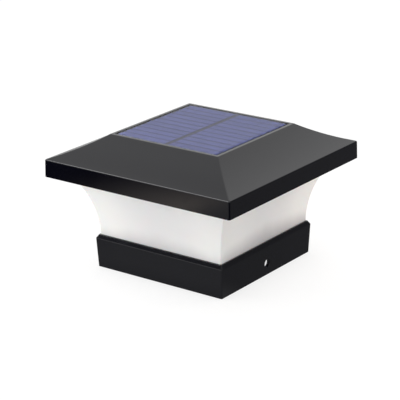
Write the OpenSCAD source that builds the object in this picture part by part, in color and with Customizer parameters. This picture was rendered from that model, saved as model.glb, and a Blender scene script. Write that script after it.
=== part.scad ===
// Solar cap light for the top of a square deck post.
// A collar slips over the post. A flared frosted diffuser stands on the collar and
// carries a hipped roof with a solar panel let into its top. A tray under the roof holds
// the lights, the cell bay, the switch and the controller.
// +Z is up, and z = 0 is the lower edge of the collar. The light is square about the Z axis.

/* [Collar] */
// Width of the square post that the collar slips over
post_w = 88.9; // [86:0.1:96]
// Clearance between the post and each grip rib
post_gap = 0.75; // [0.5:0.05:1.2]
// Depth of a grip rib at the lower edge of the collar
grip_rib_d = 2.5; // [2:0.1:3.5]
// Height of the collar up to the ledge that the diffuser stands on
collar_h = 22.4; // [20:0.2:30]
// How much wider the collar is at its shoulder than at its lower edge
collar_draft = 1.8; // [0:0.1:2.4]
// Height of the sloping shoulder at the top of the collar
shoulder_h = 2.4; // [1:0.1:3]
// How far the shoulder runs inwards
shoulder_run = 1.6; // [0.8:0.1:2.2]
// Flat ledge that shows between shoulder and diffuser
ledge_w = 0.8; // [0.4:0.1:3]
// Wall of the collar
collar_wall = 2.3; // [1.8:0.1:3]
// Thickness of the plate across the top of the collar
collar_plate = 2.2; // [1.8:0.1:3]
// Width of the square window in that plate
window_w = 72; // [60:1:76]
// Radius of the upright edges of the collar
collar_edge_r = 0.9; // [0.4:0.1:2]
// Thickness of a grip rib
grip_rib_t = 1.6; // [1:0.1:2.4]
// Distance of a grip rib from the middle of its wall
grip_rib_at = 28; // [20:1:36]
// Height of the pads that stop the post below the plate
stop_pad_h = 2.8; // [2.4:0.1:4]
// Height of the lower ends of the grip ribs above the lower edge
grip_rib_z0 = 1.5; // [0.5:0.1:5]
// Diameter of the screw hole in two opposite walls
post_hole_d = 5.5; // [4:0.1:7]
// Height of that hole above the lower edge
post_hole_z = 8; // [5:0.5:12]

/* [Diffuser] */
// Height of the diffuser from the ledge to its flange
diffuser_h = 43.9; // [36:0.5:48]
// Radius of the flare of the diffuser wall
flare_r = 74; // [64:1:110]
// Wall of the diffuser
diffuser_wall = 1.8; // [1.4:0.1:2.6]
// Thickness of the flange at the top of the diffuser
flange_t = 2; // [1.6:0.1:3]
// Width of the block in each corner that takes a collar screw
corner_block_w = 9; // [8:0.5:11]
// Height of that block
corner_block_h = 11; // [10:0.5:16]
// How far that block sinks into the two walls
corner_block_sink = 0.5; // [0.2:0.1:0.8]
// Height of the ribs on the collar that locate the foot of the diffuser
locating_rib_h = 2.6; // [1.5:0.1:5]
// Thickness of those ribs
locating_rib_t = 1.6; // [1:0.1:2.4]

/* [Roof] */
// How far the skirt stands out past the top of the flare
eaves = 9.8; // [9:0.1:14]
// Height of the skirt
skirt_h = 11.7; // [10.2:0.1:16]
// How much wider the skirt is at its lower edge than at its top
skirt_draft = 0.6; // [0:0.1:1.2]
// Rise of the slopes from the skirt to the lip of the panel
roof_rise = 14.6; // [13.2:0.2:20]
// Sag of the hollow slopes below a straight line
slope_sag = 1.1; // [0.5:0.1:2.5]
// Wall of the roof
roof_wall = 2.2; // [1.6:0.1:3]
// Radius of the upright edges of the skirt
skirt_edge_r = 1.2; // [0.6:0.1:2]
// Edge break along the top of the skirt
skirt_break = 0.5; // [0.3:0.1:1]
// How far the skirt reaches below the flange of the diffuser
drip_h = 2.2; // [2:0.1:3]
// Floor under the panel recess
recess_floor = 2; // [1.4:0.1:3]
// Flat lip round the recess
lip_w = 2.2; // [1:0.1:3]
// Depth of the stiffening ribs inside the roof
roof_rib_h = 4; // [2:0.5:4]
// Thickness of those ribs
roof_rib_t = 1.6; // [1:0.1:2.4]
// Distance between neighbouring ribs on one side
roof_rib_pitch = 24; // [18:1:28]

/* [Solar panel] */
// Width of the square panel
panel_w = 80; // [70:0.5:90]
// Depth of the cover's surface below the lip
panel_sunk = 0.2; // [0.1:0.1:1.5]
// Thickness of the clear cover
cover_t = 0.6; // [0.4:0.1:1.2]
// Thickness of the silicon strips
cell_t = 0.4; // [0.2:0.1:0.6]
// Thickness of the backing board
board_t = 1.6; // [1:0.1:2]
// Thickness of the adhesive sheet
tape_t = 0.8; // [0.5:0.1:1.2]
// Radius of the panel's corners
panel_edge_r = 0.6; // [0.3:0.1:2]
// How far the adhesive sheet stays inside the edge of the panel
tape_inset = 1; // [0.5:0.1:2]
// Bare border of the panel outside the strips
panel_border = 1.2; // [0.4:0.1:3]
// Gap between the two columns of strips
column_gap = 2.4; // [1:0.1:4]
// Number of strips in a column
strip_n = 11; // [6:1:16]
// Gap between neighbouring strips
strip_gap = 0.9; // [0.4:0.1:1.4]
// Width of the window in the adhesive sheet over the solder pads
pad_window_w = 18; // [12:1:24]
// Diameter of the hole in the recess floor for the panel's leads
lead_hole_d = 5; // [4:0.5:8]

/* [Tray and lights] */
// Thickness of the seal between diffuser and tray
seal_t = 1; // [0.6:0.1:1.6]
// Width of the seal
seal_w = 5; // [3:0.5:6]
// Distance of the seal from the diffuser's throat
seal_inset = 0.5; // [0.2:0.1:1]
// Thickness of the tray
tray_t = 2.2; // [1.8:0.1:3]
// Height of the ribs on top of the tray
tray_rib_h = 2; // [1:0.5:2.5]
// Thickness of those ribs
tray_rib_t = 1.6; // [1:0.1:2.4]
// Distance of the lights from the middle of the tray
led_ring_at = 48; // [46:0.5:52]
// Width of the ring board
led_board_w = 10; // [8:0.5:12]
// Radius of the ring board's corners
led_board_edge_r = 2; // [1:0.5:4]
// Thickness of the ring board
led_board_t = 1.6; // [1:0.1:2]
// Length of one light
led_l = 3.5; // [2.8:0.1:5]
// Width of one light
led_w = 2.8; // [2:0.1:4]
// Height of one light
led_h = 0.8; // [0.6:0.1:1.4]
// Diameter of the lens in a light
led_lens_d = 2.1; // [1.4:0.1:2.4]
// Depth of the lens below the face of a light
led_lens_sunk = 0.2; // [0.1:0.05:0.4]
// Distance of each light from the middle of its side
led_spread = 20; // [12:1:32]

/* [Battery] */
// Diameter of the cell
cell_d = 14.2; // [13.5:0.1:14.5]
// Length of the cell's sleeve
cell_l = 49.2; // [48:0.1:50]
// Diameter of the cell's button
button_d = 5.4; // [4:0.1:6]
// Length of the cell's button
button_l = 1.3; // [1:0.1:1.6]
// Edge break round the ends of the cell's sleeve
cell_edge = 0.6; // [0.3:0.1:1]
// Space for the coil contact
spring_l = 4.2; // [3:0.1:6]
// Diameter of the coil contact at its foot
spring_d = 9; // [7:0.5:11]
// Diameter of the coil contact where it meets the cell
spring_tip_d = 5.6; // [4:0.1:6]
// Diameter of the contact's wire
spring_wire_d = 0.8; // [0.5:0.1:1]
// Turns of the coil contact
spring_turns = 3; // [2:1:4]
// Thickness of a contact plate
contact_t = 0.5; // [0.3:0.1:0.8]
// Distance of a contact plate from the walls of the bay
contact_inset = 1; // [0.6:0.1:2]
// Clearance between the cell and its saddles
saddle_gap = 0.3; // [0.2:0.05:0.6]
// Height of the air space above the cell
cell_headroom = 1.4; // [1:0.1:4]
// Side wall of the cell bay
bay_wall = 1.6; // [1.2:0.1:2.4]
// End wall of the cell bay
bay_end = 2.6; // [2.2:0.1:3.4]
// Thickness of the door
door_t = 1.8; // [1.4:0.1:2.4]
// Diameter of the hinge pins of the door
hinge_pin_d = 2; // [1.6:0.1:2.4]
// Wall of a hinge ear outside its pin
pin_wall = 0.8; // [0.6:0.1:1.2]
// Length of each hinge pin
hinge_pin_l = 2; // [1.2:0.1:2.2]
// Width of the finger tab on the door
tab_w = 14; // [10:1:20]
// Height of the finger tab on the door
tab_h = 5; // [3:0.5:7]
// Thickness of the finger tab on the door
tab_t = 1.4; // [1:0.1:2]
// Width of the grip grooves in the finger tab
tab_groove_w = 0.7; // [0.4:0.1:1]
// Depth of those grooves
tab_groove_d = 0.4; // [0.2:0.1:0.6]
// Distance of the outer door ribs from the middle of the door
door_rib_at = 22; // [12:1:24]
// Distance of the outer saddles from the middle of the bay
saddle_at = 16; // [10:1:20]
// Thickness of the saddles and of the door ribs
saddle_t = 1.8; // [1:0.1:2.4]
// Space between the cell and the lower edge of the bay
cell_drop = 2.2; // [2:0.1:4]
// How far the hinge ears reach below the hinge
ear_drop = 2.2; // [2:0.1:3]
// Width of the hinge ears
ear_w = 5; // [4:0.1:7]
// Length of the screw lug at each end of the bay
lug_l = 8; // [7:0.5:9]
// Width of the screw lugs
lug_w = 9; // [8:0.5:12]
// Thickness of the screw lugs
lug_t = 2.4; // [2:0.1:3]

/* [Controller and switch] */
// Length of the controller board
ctrl_l = 54; // [48:1:60]
// Width of the controller board
ctrl_w = 30; // [26:1:34]
// How far the controller board is set towards the back
ctrl_back = 8; // [6:0.5:12]
// Height of the controller board above the tray
ctrl_lift = 3; // [2.6:0.1:4.4]
// Distance of the board's screws from its edges
ctrl_inset = 3.5; // [2.5:0.1:4]
// Distance of the chip and the capacitor from the coil
part_pitch = 12; // [9:0.5:14]
// Length of the chip
chip_l = 5; // [4:0.1:7]
// Width of the chip over its body
chip_w = 4; // [3:0.1:5]
// Height of the chip's body
chip_h = 1.5; // [1:0.1:2]
// Width of a leg of the chip
chip_leg_w = 0.4; // [0.3:0.05:0.6]
// Length of a leg of the chip
chip_leg_l = 1.1; // [0.8:0.1:1.5]
// Diameter of the coil's cheeks
coil_d = 7.2; // [5:0.1:9]
// Height of the coil
coil_h = 5; // [3:0.1:5.6]
// Thickness of the coil's cheeks
coil_cheek_t = 1; // [0.6:0.1:1.2]
// Depth of the coil's winding below its cheeks
coil_sunk = 0.5; // [0.2:0.1:1]
// Diameter of the capacitor
capacitor_d = 5; // [4:0.1:7]
// Height of the capacitor
capacitor_h = 5.8; // [4:0.1:6]
// Depth of the groove round the capacitor
capacitor_groove = 0.3; // [0.2:0.05:0.5]
// Length of a socket
socket_l = 6; // [4:0.1:7.5]
// Width of a socket
socket_w = 5; // [4:0.1:6]
// Height of a socket
socket_h = 4; // [3:0.1:5]
// Wall of a socket
socket_wall = 0.8; // [0.5:0.1:1.2]
// Distance between neighbouring sockets
socket_pitch = 9; // [8:0.1:12]
// Length of the switch body
switch_l = 19; // [16:0.5:22]
// Width of the switch body
switch_w = 7; // [6:0.5:9]
// Height of the switch body
switch_h = 5.5; // [4:0.5:7]
// Distance of the switch from the middle of the tray
switch_at = 27; // [24:0.5:29]
// Length of the solder legs on the switch body
switch_leg_l = 2.5; // [1:0.5:3]
// Distance between the solder legs on the switch body
switch_leg_pitch = 4; // [3:0.5:6]
// Length of the switch knob
knob_l = 5; // [4:0.1:7]
// Width of the switch knob
knob_w = 3.6; // [3:0.1:5]
// How far the knob stands out below the tray
knob_out = 3.6; // [2:0.1:6]
// Travel of the switch knob
knob_travel = 4; // [2:0.1:5]
// Length of the part of the knob inside the switch body
knob_foot = 1.6; // [1:0.1:2.4]
// Width and depth of the grip grooves in the knob
knob_groove = 0.6; // [0.3:0.1:0.8]

/* [Fasteners and fits] */
// Shank diameter of the structural screws
screw_d = 3; // [2.5:0.1:3.5]
// Head diameter of the structural screws
screw_head_d = 5.6; // [5:0.1:6.4]
// Head height of the structural screws
screw_head_h = 1.9; // [1.4:0.1:2.2]
// Shank diameter of the board screws
small_screw_d = 2; // [1.6:0.1:2.4]
// Head diameter of the board screws
small_head_d = 3.8; // [3.4:0.1:4.2]
// Head height of the board screws
small_head_h = 1.3; // [1:0.1:1.6]
// Grip of a structural screw in its boss
screw_grip = 5; // [4:0.5:6]
// Grip of a board screw in its boss
small_grip = 3.6; // [3:0.1:4]
// Wall of plastic round a screw
boss_wall = 2; // [1.4:0.1:2.6]
// Clearance of a screw in the hole of the piece it holds
hole_gap = 0.2; // [0.1:0.05:0.4]
// Clearance round a screw in its boss
boss_gap = 0.05; // [0.02:0.01:0.1]
// Clearance between mating plastic parts
fit_gap = 0.4; // [0.2:0.05:0.8]
// Clearance of a hinge pin in its ear
pin_gap = 0.06; // [0.02:0.01:0.1]
// Clearance between a moving part and its neighbour
run_gap = 0.3; // [0.2:0.05:0.5]
// Depth of a screw hole past the tip of its screw
hole_over = 0.8; // [0.5:0.1:1]

/* [Hidden] */

// Fineness of the long arcs and of the small rounds
ARC_FN = 360;
ROUND_FN = 48;
// Overshoot of a cutting shape
CUT = 0.5;

// Collar: half widths from the lower edge to the diffuser's foot
post_fit_half = post_w / 2 + post_gap;
collar_half = post_fit_half + grip_rib_d + collar_wall;
shoulder_half = collar_half + collar_draft / 2;
shoulder_z = collar_h - shoulder_h;
ledge_half = shoulder_half - shoulder_run;
foot_half = ledge_half - ledge_w;
plate_z = collar_h - collar_plate;
window_half = window_w / 2;
corner_screw_at = foot_half - diffuser_wall + corner_block_sink - corner_block_w / 2;

// Diffuser: the wall is an arc that starts upright at the foot
flange_z = collar_h + diffuser_h;
flare_centre = foot_half + flare_r;
flare_top_half = flare_centre - sqrt(flare_r ^ 2 - diffuser_h ^ 2);
inner_r = flare_r + diffuser_wall;
throat_half = flare_centre - sqrt(inner_r ^ 2 - diffuser_h ^ 2);

// Roof: the slopes are arcs between the skirt's top and the lip
skirt_top_half = flare_top_half + eaves;
skirt_low_half = skirt_top_half + skirt_draft / 2;
skirt_z0 = flange_z - drip_h;
skirt_z1 = skirt_z0 + skirt_h;
lip_z = skirt_z1 + roof_rise;
recess_half = panel_w / 2 + fit_gap;
lip_half = recess_half + lip_w;
slope_dx = skirt_top_half - lip_half;
slope_chord = norm([slope_dx, roof_rise]);
slope_r = (slope_chord ^ 2 / 4 + slope_sag ^ 2) / (2 * slope_sag);
slope_mid = [(skirt_top_half + lip_half) / 2, (skirt_z1 + lip_z) / 2];
slope_centre = slope_mid + [roof_rise, slope_dx] / slope_chord * (slope_r - slope_sag);
hollow_half = skirt_top_half - roof_wall;
flange_half = hollow_half - fit_gap;

// Panel stack, from the floor of the recess up
cover_z = lip_z - panel_sunk - cover_t;
cells_z = cover_z - cell_t;
board_z = cells_z - board_t;
tape_z = board_z - tape_t;
hollow_top_z = tape_z - recess_floor;
panel_half = panel_w / 2;
field_half = panel_half - panel_border;
strip_pitch = (2 * field_half + strip_gap) / strip_n;
strip_l = field_half - column_gap / 2;

// Tray stack, from the diffuser's flange up
seal_z = flange_z + flange_t;
tray_z = seal_z + seal_t;
tray_top = tray_z + tray_t;
flange_screw_at = (flare_top_half + flange_half) / 2 - fit_gap;
seal_in = throat_half + seal_inset;
led_board_z = tray_z - led_board_t;
led_board_in = led_ring_at - led_board_w / 2;
led_board_out = led_ring_at + led_board_w / 2;
tray_rib_l = flange_half - led_board_out;
boss_d = screw_d + 2 * boss_wall;
small_boss_d = small_screw_d + 2 * boss_wall;

// Cell bay, hung under the tray; the cell lies along X, its button towards +X
cell_r = cell_d / 2;
bay_in_l = spring_l + contact_t + cell_l + button_l + contact_t;
bay_in_x0 = -bay_in_l / 2;
bay_in_x1 = bay_in_l / 2;
bay_in_half = cell_r + saddle_gap + run_gap;
bay_half = bay_in_half + bay_wall;
bay_x0 = bay_in_x0 - bay_end;
bay_x1 = bay_in_x1 + bay_end;
bay_top_in = tray_z - bay_wall;
cell_z = bay_top_in - cell_headroom - cell_r;
cell_x0 = bay_in_x0 + contact_t + spring_l;
bay_z0 = cell_z - cell_r - cell_drop;
door_top = bay_z0 - run_gap;
hinge_z = door_top - door_t / 2;
hinge_y = pin_wall + pin_gap + hinge_pin_d / 2 - bay_half;
door_half_l = bay_in_l / 2 - run_gap;
ear_z0 = hinge_z - ear_drop;
lug_screw_at = bay_x1 + lug_l / 2;

// Controller, above the tray
ctrl_z = tray_top + ctrl_lift;
ctrl_top = ctrl_z + board_t;
slot_l = knob_l + knob_travel + 2 * run_gap;
slot_w = knob_w + 2 * run_gap;

// ---------- shared shapes ----------

// Square with round corners
module round_square(half, r)
{
    square([2 * half, 2 * (half - r)], center = true);
    square([2 * (half - r), 2 * half], center = true);
    for (sx = [-1, 1], sy = [-1, 1])
        translate([sx * (half - r), sy * (half - r)])
            circle(r = r, $fn = ROUND_FN);
}

// Square plate with round corners, from z0 to z1
module plate(half, r, z0, z1)
    translate([0, 0, z0])
        linear_extrude(height = z1 - z0)
            round_square(half, r);

// Flat bar from one corner to the other
module block(low, high)
    translate(low)
        cube(high - low);

// Body of square plan whose half width at each height is that of a profile drawn in X and Z
module square_form(reach)
{
    intersection()
    {
        rotate([90, 0, 0])
            linear_extrude(height = 2 * reach, center = true)
                children();
        rotate([90, 0, 90])
            linear_extrude(height = 2 * reach, center = true)
                children();
    }
}

// The same shape at each corner of a square
module at_corners(d)
    for (sx = [-1, 1], sy = [-1, 1])
        translate([sx * d, sy * d, 0])
            children();

// The same shape on each of the four sides
module on_sides()
    for (a = [0, 90, 180, 270])
        rotate([0, 0, a])
            children();

// Round hole or peg along Z
module rod(d, z0, z1, fn = ROUND_FN)
    translate([0, 0, z0])
        cylinder(d = d, h = z1 - z0, $fn = fn);

// Pan head screw, driven upwards: seat of the head at z, shank above it
module screw_up(d, head_d, head_h, z, shank_l)
{
    edge = head_h * 0.35;
    cross_l = head_d * 0.6;
    cross_w = head_d * 0.14;
    cross_h = head_h * 0.55;
    difference()
    {
        union()
        {
            rod(d, z - head_h / 2, z + shank_l);
            rod(head_d, z - head_h + edge, z);
            translate([0, 0, z - head_h])
                cylinder(d1 = head_d - 2 * edge, d2 = head_d, h = edge, $fn = ROUND_FN);
        }
        for (a = [0, 90])
            rotate([0, 0, a])
                translate([-cross_l / 2, -cross_w / 2, z - head_h - CUT])
                    cube([cross_l, cross_w, cross_h + CUT]);
    }
}

// The same screw driven downwards
module screw_down(d, head_d, head_h, z, shank_l)
    translate([0, 0, z])
        mirror([0, 0, 1])
            screw_up(d, head_d, head_h, 0, shank_l);

// ---------- collar ----------

// Outline of the collar: drafted wall, shoulder and ledge
module collar_profile()
    polygon([[-collar_half, 0], [collar_half, 0],
             [shoulder_half, shoulder_z], [ledge_half, collar_h],
             [-ledge_half, collar_h], [-shoulder_half, shoulder_z]]);

// Outline of the hollow below the plate, parallel to the outer wall
module collar_hollow_profile()
{
    lean = collar_draft / 2 / shoulder_z;
    low = collar_half - collar_wall - lean * CUT;
    top = collar_half - collar_wall + lean * plate_z;
    polygon([[-low, -CUT], [low, -CUT], [top, plate_z], [-top, plate_z]]);
}

module collar()
{
    rib_reach = shoulder_half - collar_wall / 2 - post_fit_half;
    color([0.13, 0.13, 0.14])
        difference()
        {
            union()
            {
                difference()
                {
                    intersection()
                    {
                        square_form(shoulder_half + CUT)
                            collar_profile();
                        plate(shoulder_half, collar_edge_r, 0, collar_h);
                    }
                    square_form(shoulder_half + CUT)
                        collar_hollow_profile();
                }
                intersection()
                {
                    on_sides()
                        for (s = [-1, 1])
                        {
                            // Grip ribs on the walls, and stop pads under the plate
                            translate([post_fit_half, s * grip_rib_at - grip_rib_t / 2,
                                       grip_rib_z0])
                                cube([rib_reach, grip_rib_t, plate_z - grip_rib_z0]);
                            translate([window_half, s * grip_rib_at - grip_rib_t / 2,
                                       plate_z - stop_pad_h])
                                cube([post_fit_half - window_half + CUT, grip_rib_t,
                                      stop_pad_h + CUT]);
                        }
                    square_form(shoulder_half)
                        collar_profile();
                }
                // Ribs that locate the foot of the diffuser
                on_sides()
                    translate([foot_half - diffuser_wall - fit_gap - locating_rib_t,
                               -window_half, plate_z])
                        cube([locating_rib_t, window_w, collar_plate + locating_rib_h]);
            }
            block([-window_half, -window_half, plate_z - CUT],
                  [window_half, window_half, collar_h + CUT]);
            at_corners(corner_screw_at)
                rod(screw_d + 2 * hole_gap, plate_z - CUT, collar_h + CUT);
            // Screw holes to the post, right through two opposite walls
            translate([0, 0, post_hole_z])
                rotate([0, 90, 0])
                    cylinder(d = post_hole_d, h = 2 * (shoulder_half + CUT), center = true,
                             $fn = ROUND_FN);
        }
}

module collar_screws()
    color("silver")
        at_corners(corner_screw_at)
            screw_up(screw_d, screw_head_d, screw_head_h, plate_z,
                     collar_plate + screw_grip);

// ---------- diffuser ----------

// Solid under the outer face of the flare
module flare_profile(r, z0, z1)
    difference()
    {
        translate([-skirt_top_half, z0])
            square([2 * skirt_top_half, z1 - z0]);
        for (s = [-1, 1])
            translate([s * flare_centre, collar_h])
                circle(r = r, $fn = ARC_FN);
    }

module diffuser()
{
    color([0.95, 0.95, 0.94])
        difference()
        {
            union()
            {
                difference()
                {
                    square_form(flange_half)
                        flare_profile(flare_r, collar_h, flange_z + flange_t / 2);
                    square_form(flange_half)
                        flare_profile(inner_r, collar_h - CUT, flange_z + flange_t);
                }
                difference()
                {
                    plate(flange_half, skirt_edge_r, flange_z, seal_z);
                    block([-throat_half, -throat_half, flange_z - CUT],
                          [throat_half, throat_half, seal_z + CUT]);
                }
                // Corner blocks for the collar screws
                intersection()
                {
                    at_corners(corner_screw_at)
                        translate([0, 0, collar_h + corner_block_h / 2])
                            cube([corner_block_w, corner_block_w, corner_block_h],
                                 center = true);
                    square_form(flange_half)
                        flare_profile(flare_r + diffuser_wall / 2, collar_h, flange_z);
                }
            }
            at_corners(corner_screw_at)
                rod(screw_d + 2 * boss_gap, collar_h - CUT, collar_h + screw_grip + hole_over);
            at_corners(flange_screw_at)
                rod(screw_d + 2 * hole_gap, flange_z - CUT, seal_z + CUT);
        }
}

module roof_gasket()
    color([0.2, 0.2, 0.2])
        difference()
        {
            plate(seal_in + seal_w, skirt_edge_r, seal_z, tray_z);
            block([-seal_in, -seal_in, seal_z - CUT], [seal_in, seal_in, tray_z + CUT]);
            at_corners(flange_screw_at)
                rod(screw_d + 2 * fit_gap, seal_z - CUT, tray_z + CUT);
        }

// ---------- roof ----------

// Region under the hollow slopes, cut off at a height
module slope_profile(half, r, z0, z1)
    difference()
    {
        translate([-half, z0])
            square([2 * half, z1 - z0]);
        for (s = [-1, 1])
            translate([s * slope_centre[0], slope_centre[1]])
                circle(r = r, $fn = ARC_FN);
    }

// Skirt with its draft and its broken top edge, closed above by the slopes
module roof_profile()
    intersection()
    {
        slope_profile(skirt_low_half, slope_r, skirt_z0, lip_z);
        polygon([[-skirt_low_half, skirt_z0], [skirt_low_half, skirt_z0],
                 [skirt_top_half, skirt_z1 - skirt_break],
                 [skirt_top_half - roof_rise, skirt_z1 - skirt_break + roof_rise],
                 [skirt_top_half - roof_rise, lip_z + CUT],
                 [roof_rise - skirt_top_half, lip_z + CUT],
                 [roof_rise - skirt_top_half, skirt_z1 - skirt_break + roof_rise],
                 [-skirt_top_half, skirt_z1 - skirt_break]]);
    }

// Hollow of the roof, parallel to its outside
module roof_hollow(lower = 0)
    translate([0, 0, -lower])
        square_form(skirt_low_half)
            slope_profile(hollow_half, slope_r + roof_wall, skirt_z0 - CUT, hollow_top_z);

module roof_shell()
{
    color([0.16, 0.16, 0.17])
        difference()
        {
            union()
            {
                difference()
                {
                    intersection()
                    {
                        square_form(skirt_low_half + CUT)
                            roof_profile();
                        plate(skirt_low_half, skirt_edge_r, skirt_z0, lip_z);
                    }
                    roof_hollow();
                }
                intersection()
                {
                    roof_hollow();
                    union()
                    {
                        // Screw bosses down to the tray
                        at_corners(flange_screw_at)
                            rod(boss_d, tray_top, lip_z);
                        // Ribs under the slopes
                        difference()
                        {
                            union()
                            {
                                for (a = [45, 135])
                                    rotate([0, 0, a])
                                        translate([0, 0, (tray_top + lip_z) / 2])
                                            cube([3 * skirt_low_half, roof_rib_t,
                                                  lip_z - tray_top], center = true);
                                for (a = [0, 90], i = [-1, 0, 1])
                                    rotate([0, 0, a])
                                        translate([0, i * roof_rib_pitch,
                                                   (tray_top + lip_z) / 2])
                                            cube([3 * skirt_low_half, roof_rib_t,
                                                  lip_z - tray_top], center = true);
                            }
                            roof_hollow(roof_rib_h);
                            block([-lip_half, -lip_half, tray_z], [lip_half, lip_half, lip_z]);
                        }
                    }
                }
            }
            block([-recess_half, -recess_half, tape_z],
                  [recess_half, recess_half, lip_z + CUT]);
            rod(lead_hole_d, hollow_top_z - CUT, tape_z + CUT);
            at_corners(flange_screw_at)
                rod(screw_d + 2 * boss_gap, tray_z, tray_top + screw_grip + hole_over);
        }
}

module flange_screws()
    color("silver")
        at_corners(flange_screw_at)
            screw_up(screw_d, screw_head_d, screw_head_h, flange_z,
                     flange_t + seal_t + tray_t + screw_grip);

// ---------- solar panel ----------

module panel_tape()
    color([0.1, 0.1, 0.1])
        difference()
        {
            plate(panel_half - tape_inset, panel_edge_r, tape_z, board_z);
            translate([0, 0, tape_z - CUT])
                linear_extrude(height = tape_t + 2 * CUT)
                    square(pad_window_w, center = true);
        }

module panel_board()
    color([0.3, 0.31, 0.33])
        plate(panel_half, panel_edge_r, board_z, cells_z);

module solar_cells()
    color([0.27, 0.28, 0.55])
        for (i = [0:strip_n - 1], s = [0, 1])
            translate([s == 0 ? -field_half : column_gap / 2,
                       -field_half + i * strip_pitch, cells_z])
                cube([strip_l, strip_pitch - strip_gap, cell_t]);

module panel_cover()
    color([0.7, 0.75, 0.85, 0.35])
        plate(panel_half, panel_edge_r, cover_z, lip_z - panel_sunk);

// ---------- tray and lights ----------

module tray()
{
    color([0.93, 0.93, 0.92])
        difference()
        {
            union()
            {
                plate(flange_half, skirt_edge_r, tray_z, tray_top);
                for (s = [-1, 1])
                    translate([s * lug_screw_at, 0, 0])
                        rod(boss_d, tray_z, tray_z + screw_grip + hole_over + boss_wall);
                translate([0, ctrl_back, 0])
                    for (sx = [-1, 1], sy = [-1, 1])
                        translate([sx * (ctrl_l / 2 - ctrl_inset),
                                   sy * (ctrl_w / 2 - ctrl_inset), 0])
                            rod(small_boss_d, tray_z, ctrl_z);
                at_corners(led_ring_at)
                    rod(small_boss_d, tray_z, tray_z + small_grip + hole_over + boss_wall);
                // Stiffening ribs between the light ring and the edge
                on_sides()
                    for (s = [-1, 0, 1])
                        translate([led_board_in, s * roof_rib_pitch - tray_rib_t / 2, tray_z])
                            cube([tray_rib_l, tray_rib_t, tray_t + tray_rib_h]);
            }
            at_corners(flange_screw_at)
                rod(screw_d + 2 * hole_gap, tray_z - CUT, tray_top + CUT);
            for (s = [-1, 1])
                translate([s * lug_screw_at, 0, 0])
                    rod(screw_d + 2 * boss_gap, tray_z - CUT, tray_z + screw_grip + hole_over);
            at_corners(led_ring_at)
                rod(small_screw_d + 2 * boss_gap, tray_z - CUT, tray_z + small_grip + hole_over);
            translate([0, ctrl_back, 0])
                for (sx = [-1, 1], sy = [-1, 1])
                    translate([sx * (ctrl_l / 2 - ctrl_inset),
                               sy * (ctrl_w / 2 - ctrl_inset), 0])
                        rod(small_screw_d + 2 * boss_gap, ctrl_z - small_grip - hole_over,
                            ctrl_z + CUT);
            translate([0, -switch_at, tray_z + tray_t / 2])
                cube([slot_l, slot_w, tray_t + 2 * CUT], center = true);
        }
}

module led_board()
    color([0.9, 0.92, 0.9])
        difference()
        {
            plate(led_board_out, led_board_edge_r, led_board_z, tray_z);
            block([-led_board_in, -led_board_in, led_board_z - CUT],
                  [led_board_in, led_board_in, tray_z + CUT]);
            at_corners(led_ring_at)
                rod(small_screw_d + 2 * hole_gap, led_board_z - CUT, tray_z + CUT);
        }

// One light: housing with a round lens let into its face
module led()
    difference()
    {
        translate([-led_w / 2, -led_l / 2, led_board_z - led_h])
            cube([led_w, led_l, led_h]);
        rod(led_lens_d, led_board_z - led_h - CUT, led_board_z - led_h + led_lens_sunk);
    }

module leds()
    color([0.95, 0.85, 0.4])
        on_sides()
            for (s = [-1, 1])
                translate([led_ring_at, s * led_spread, 0])
                    led();

module led_screws()
    color("silver")
        at_corners(led_ring_at)
            screw_up(small_screw_d, small_head_d, small_head_h, led_board_z,
                     led_board_t + small_grip);

// ---------- cell bay ----------

module battery_box()
{
    color([0.9, 0.9, 0.89])
        difference()
        {
            union()
            {
                block([bay_x0, -bay_half, bay_z0], [bay_x1, bay_half, tray_z]);
                // Ears for the hinge pins of the door
                for (x = [bay_x0, bay_in_x1])
                    block([x, -bay_half, ear_z0],
                          [x + bay_end, ear_w - bay_half, bay_z0 + CUT]);
                for (s = [-1, 1])
                    translate([s * (lug_screw_at - CUT), 0, tray_z - lug_t / 2])
                        cube([lug_l, lug_w, lug_t], center = true);
            }
            difference()
            {
                block([bay_in_x0, -bay_in_half, bay_z0 - CUT],
                      [bay_in_x1, bay_in_half, bay_top_in]);
                // Saddles that hold the cell from above
                difference()
                {
                    for (i = [-1, 0, 1])
                        translate([i * saddle_at, 0, 0])
                            block([-saddle_t / 2, -bay_half, cell_z],
                                  [saddle_t / 2, bay_half, bay_top_in + CUT]);
                    translate([0, 0, cell_z])
                        rotate([0, 90, 0])
                            cylinder(r = cell_r + saddle_gap, h = 2 * bay_x1, center = true,
                                     $fn = ROUND_FN);
                }
            }
            for (s = [-1, 1])
                translate([s * lug_screw_at, 0, 0])
                    rod(screw_d + 2 * hole_gap, tray_z - lug_t - CUT, tray_z + CUT);
            translate([0, hinge_y, hinge_z])
                rotate([0, 90, 0])
                    cylinder(d = hinge_pin_d + 2 * pin_gap, h = 2 * (bay_x1 + CUT), center = true,
                             $fn = ROUND_FN);
        }
}

module battery_box_screws()
    color("silver")
        for (s = [-1, 1])
            translate([s * lug_screw_at, 0, 0])
                screw_up(screw_d, screw_head_d, screw_head_h, tray_z - lug_t,
                         lug_t + screw_grip);

module battery_cell()
    color([0.35, 0.55, 0.45])
        translate([cell_x0, 0, cell_z])
            rotate([0, 90, 0])
                rotate_extrude($fn = ROUND_FN)
                    polygon([[0, 0], [cell_r - cell_edge, 0], [cell_r, cell_edge],
                             [cell_r, cell_l - cell_edge], [cell_r - cell_edge, cell_l],
                             [button_d / 2, cell_l], [button_d / 2, cell_l + button_l],
                             [0, cell_l + button_l]]);

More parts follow.
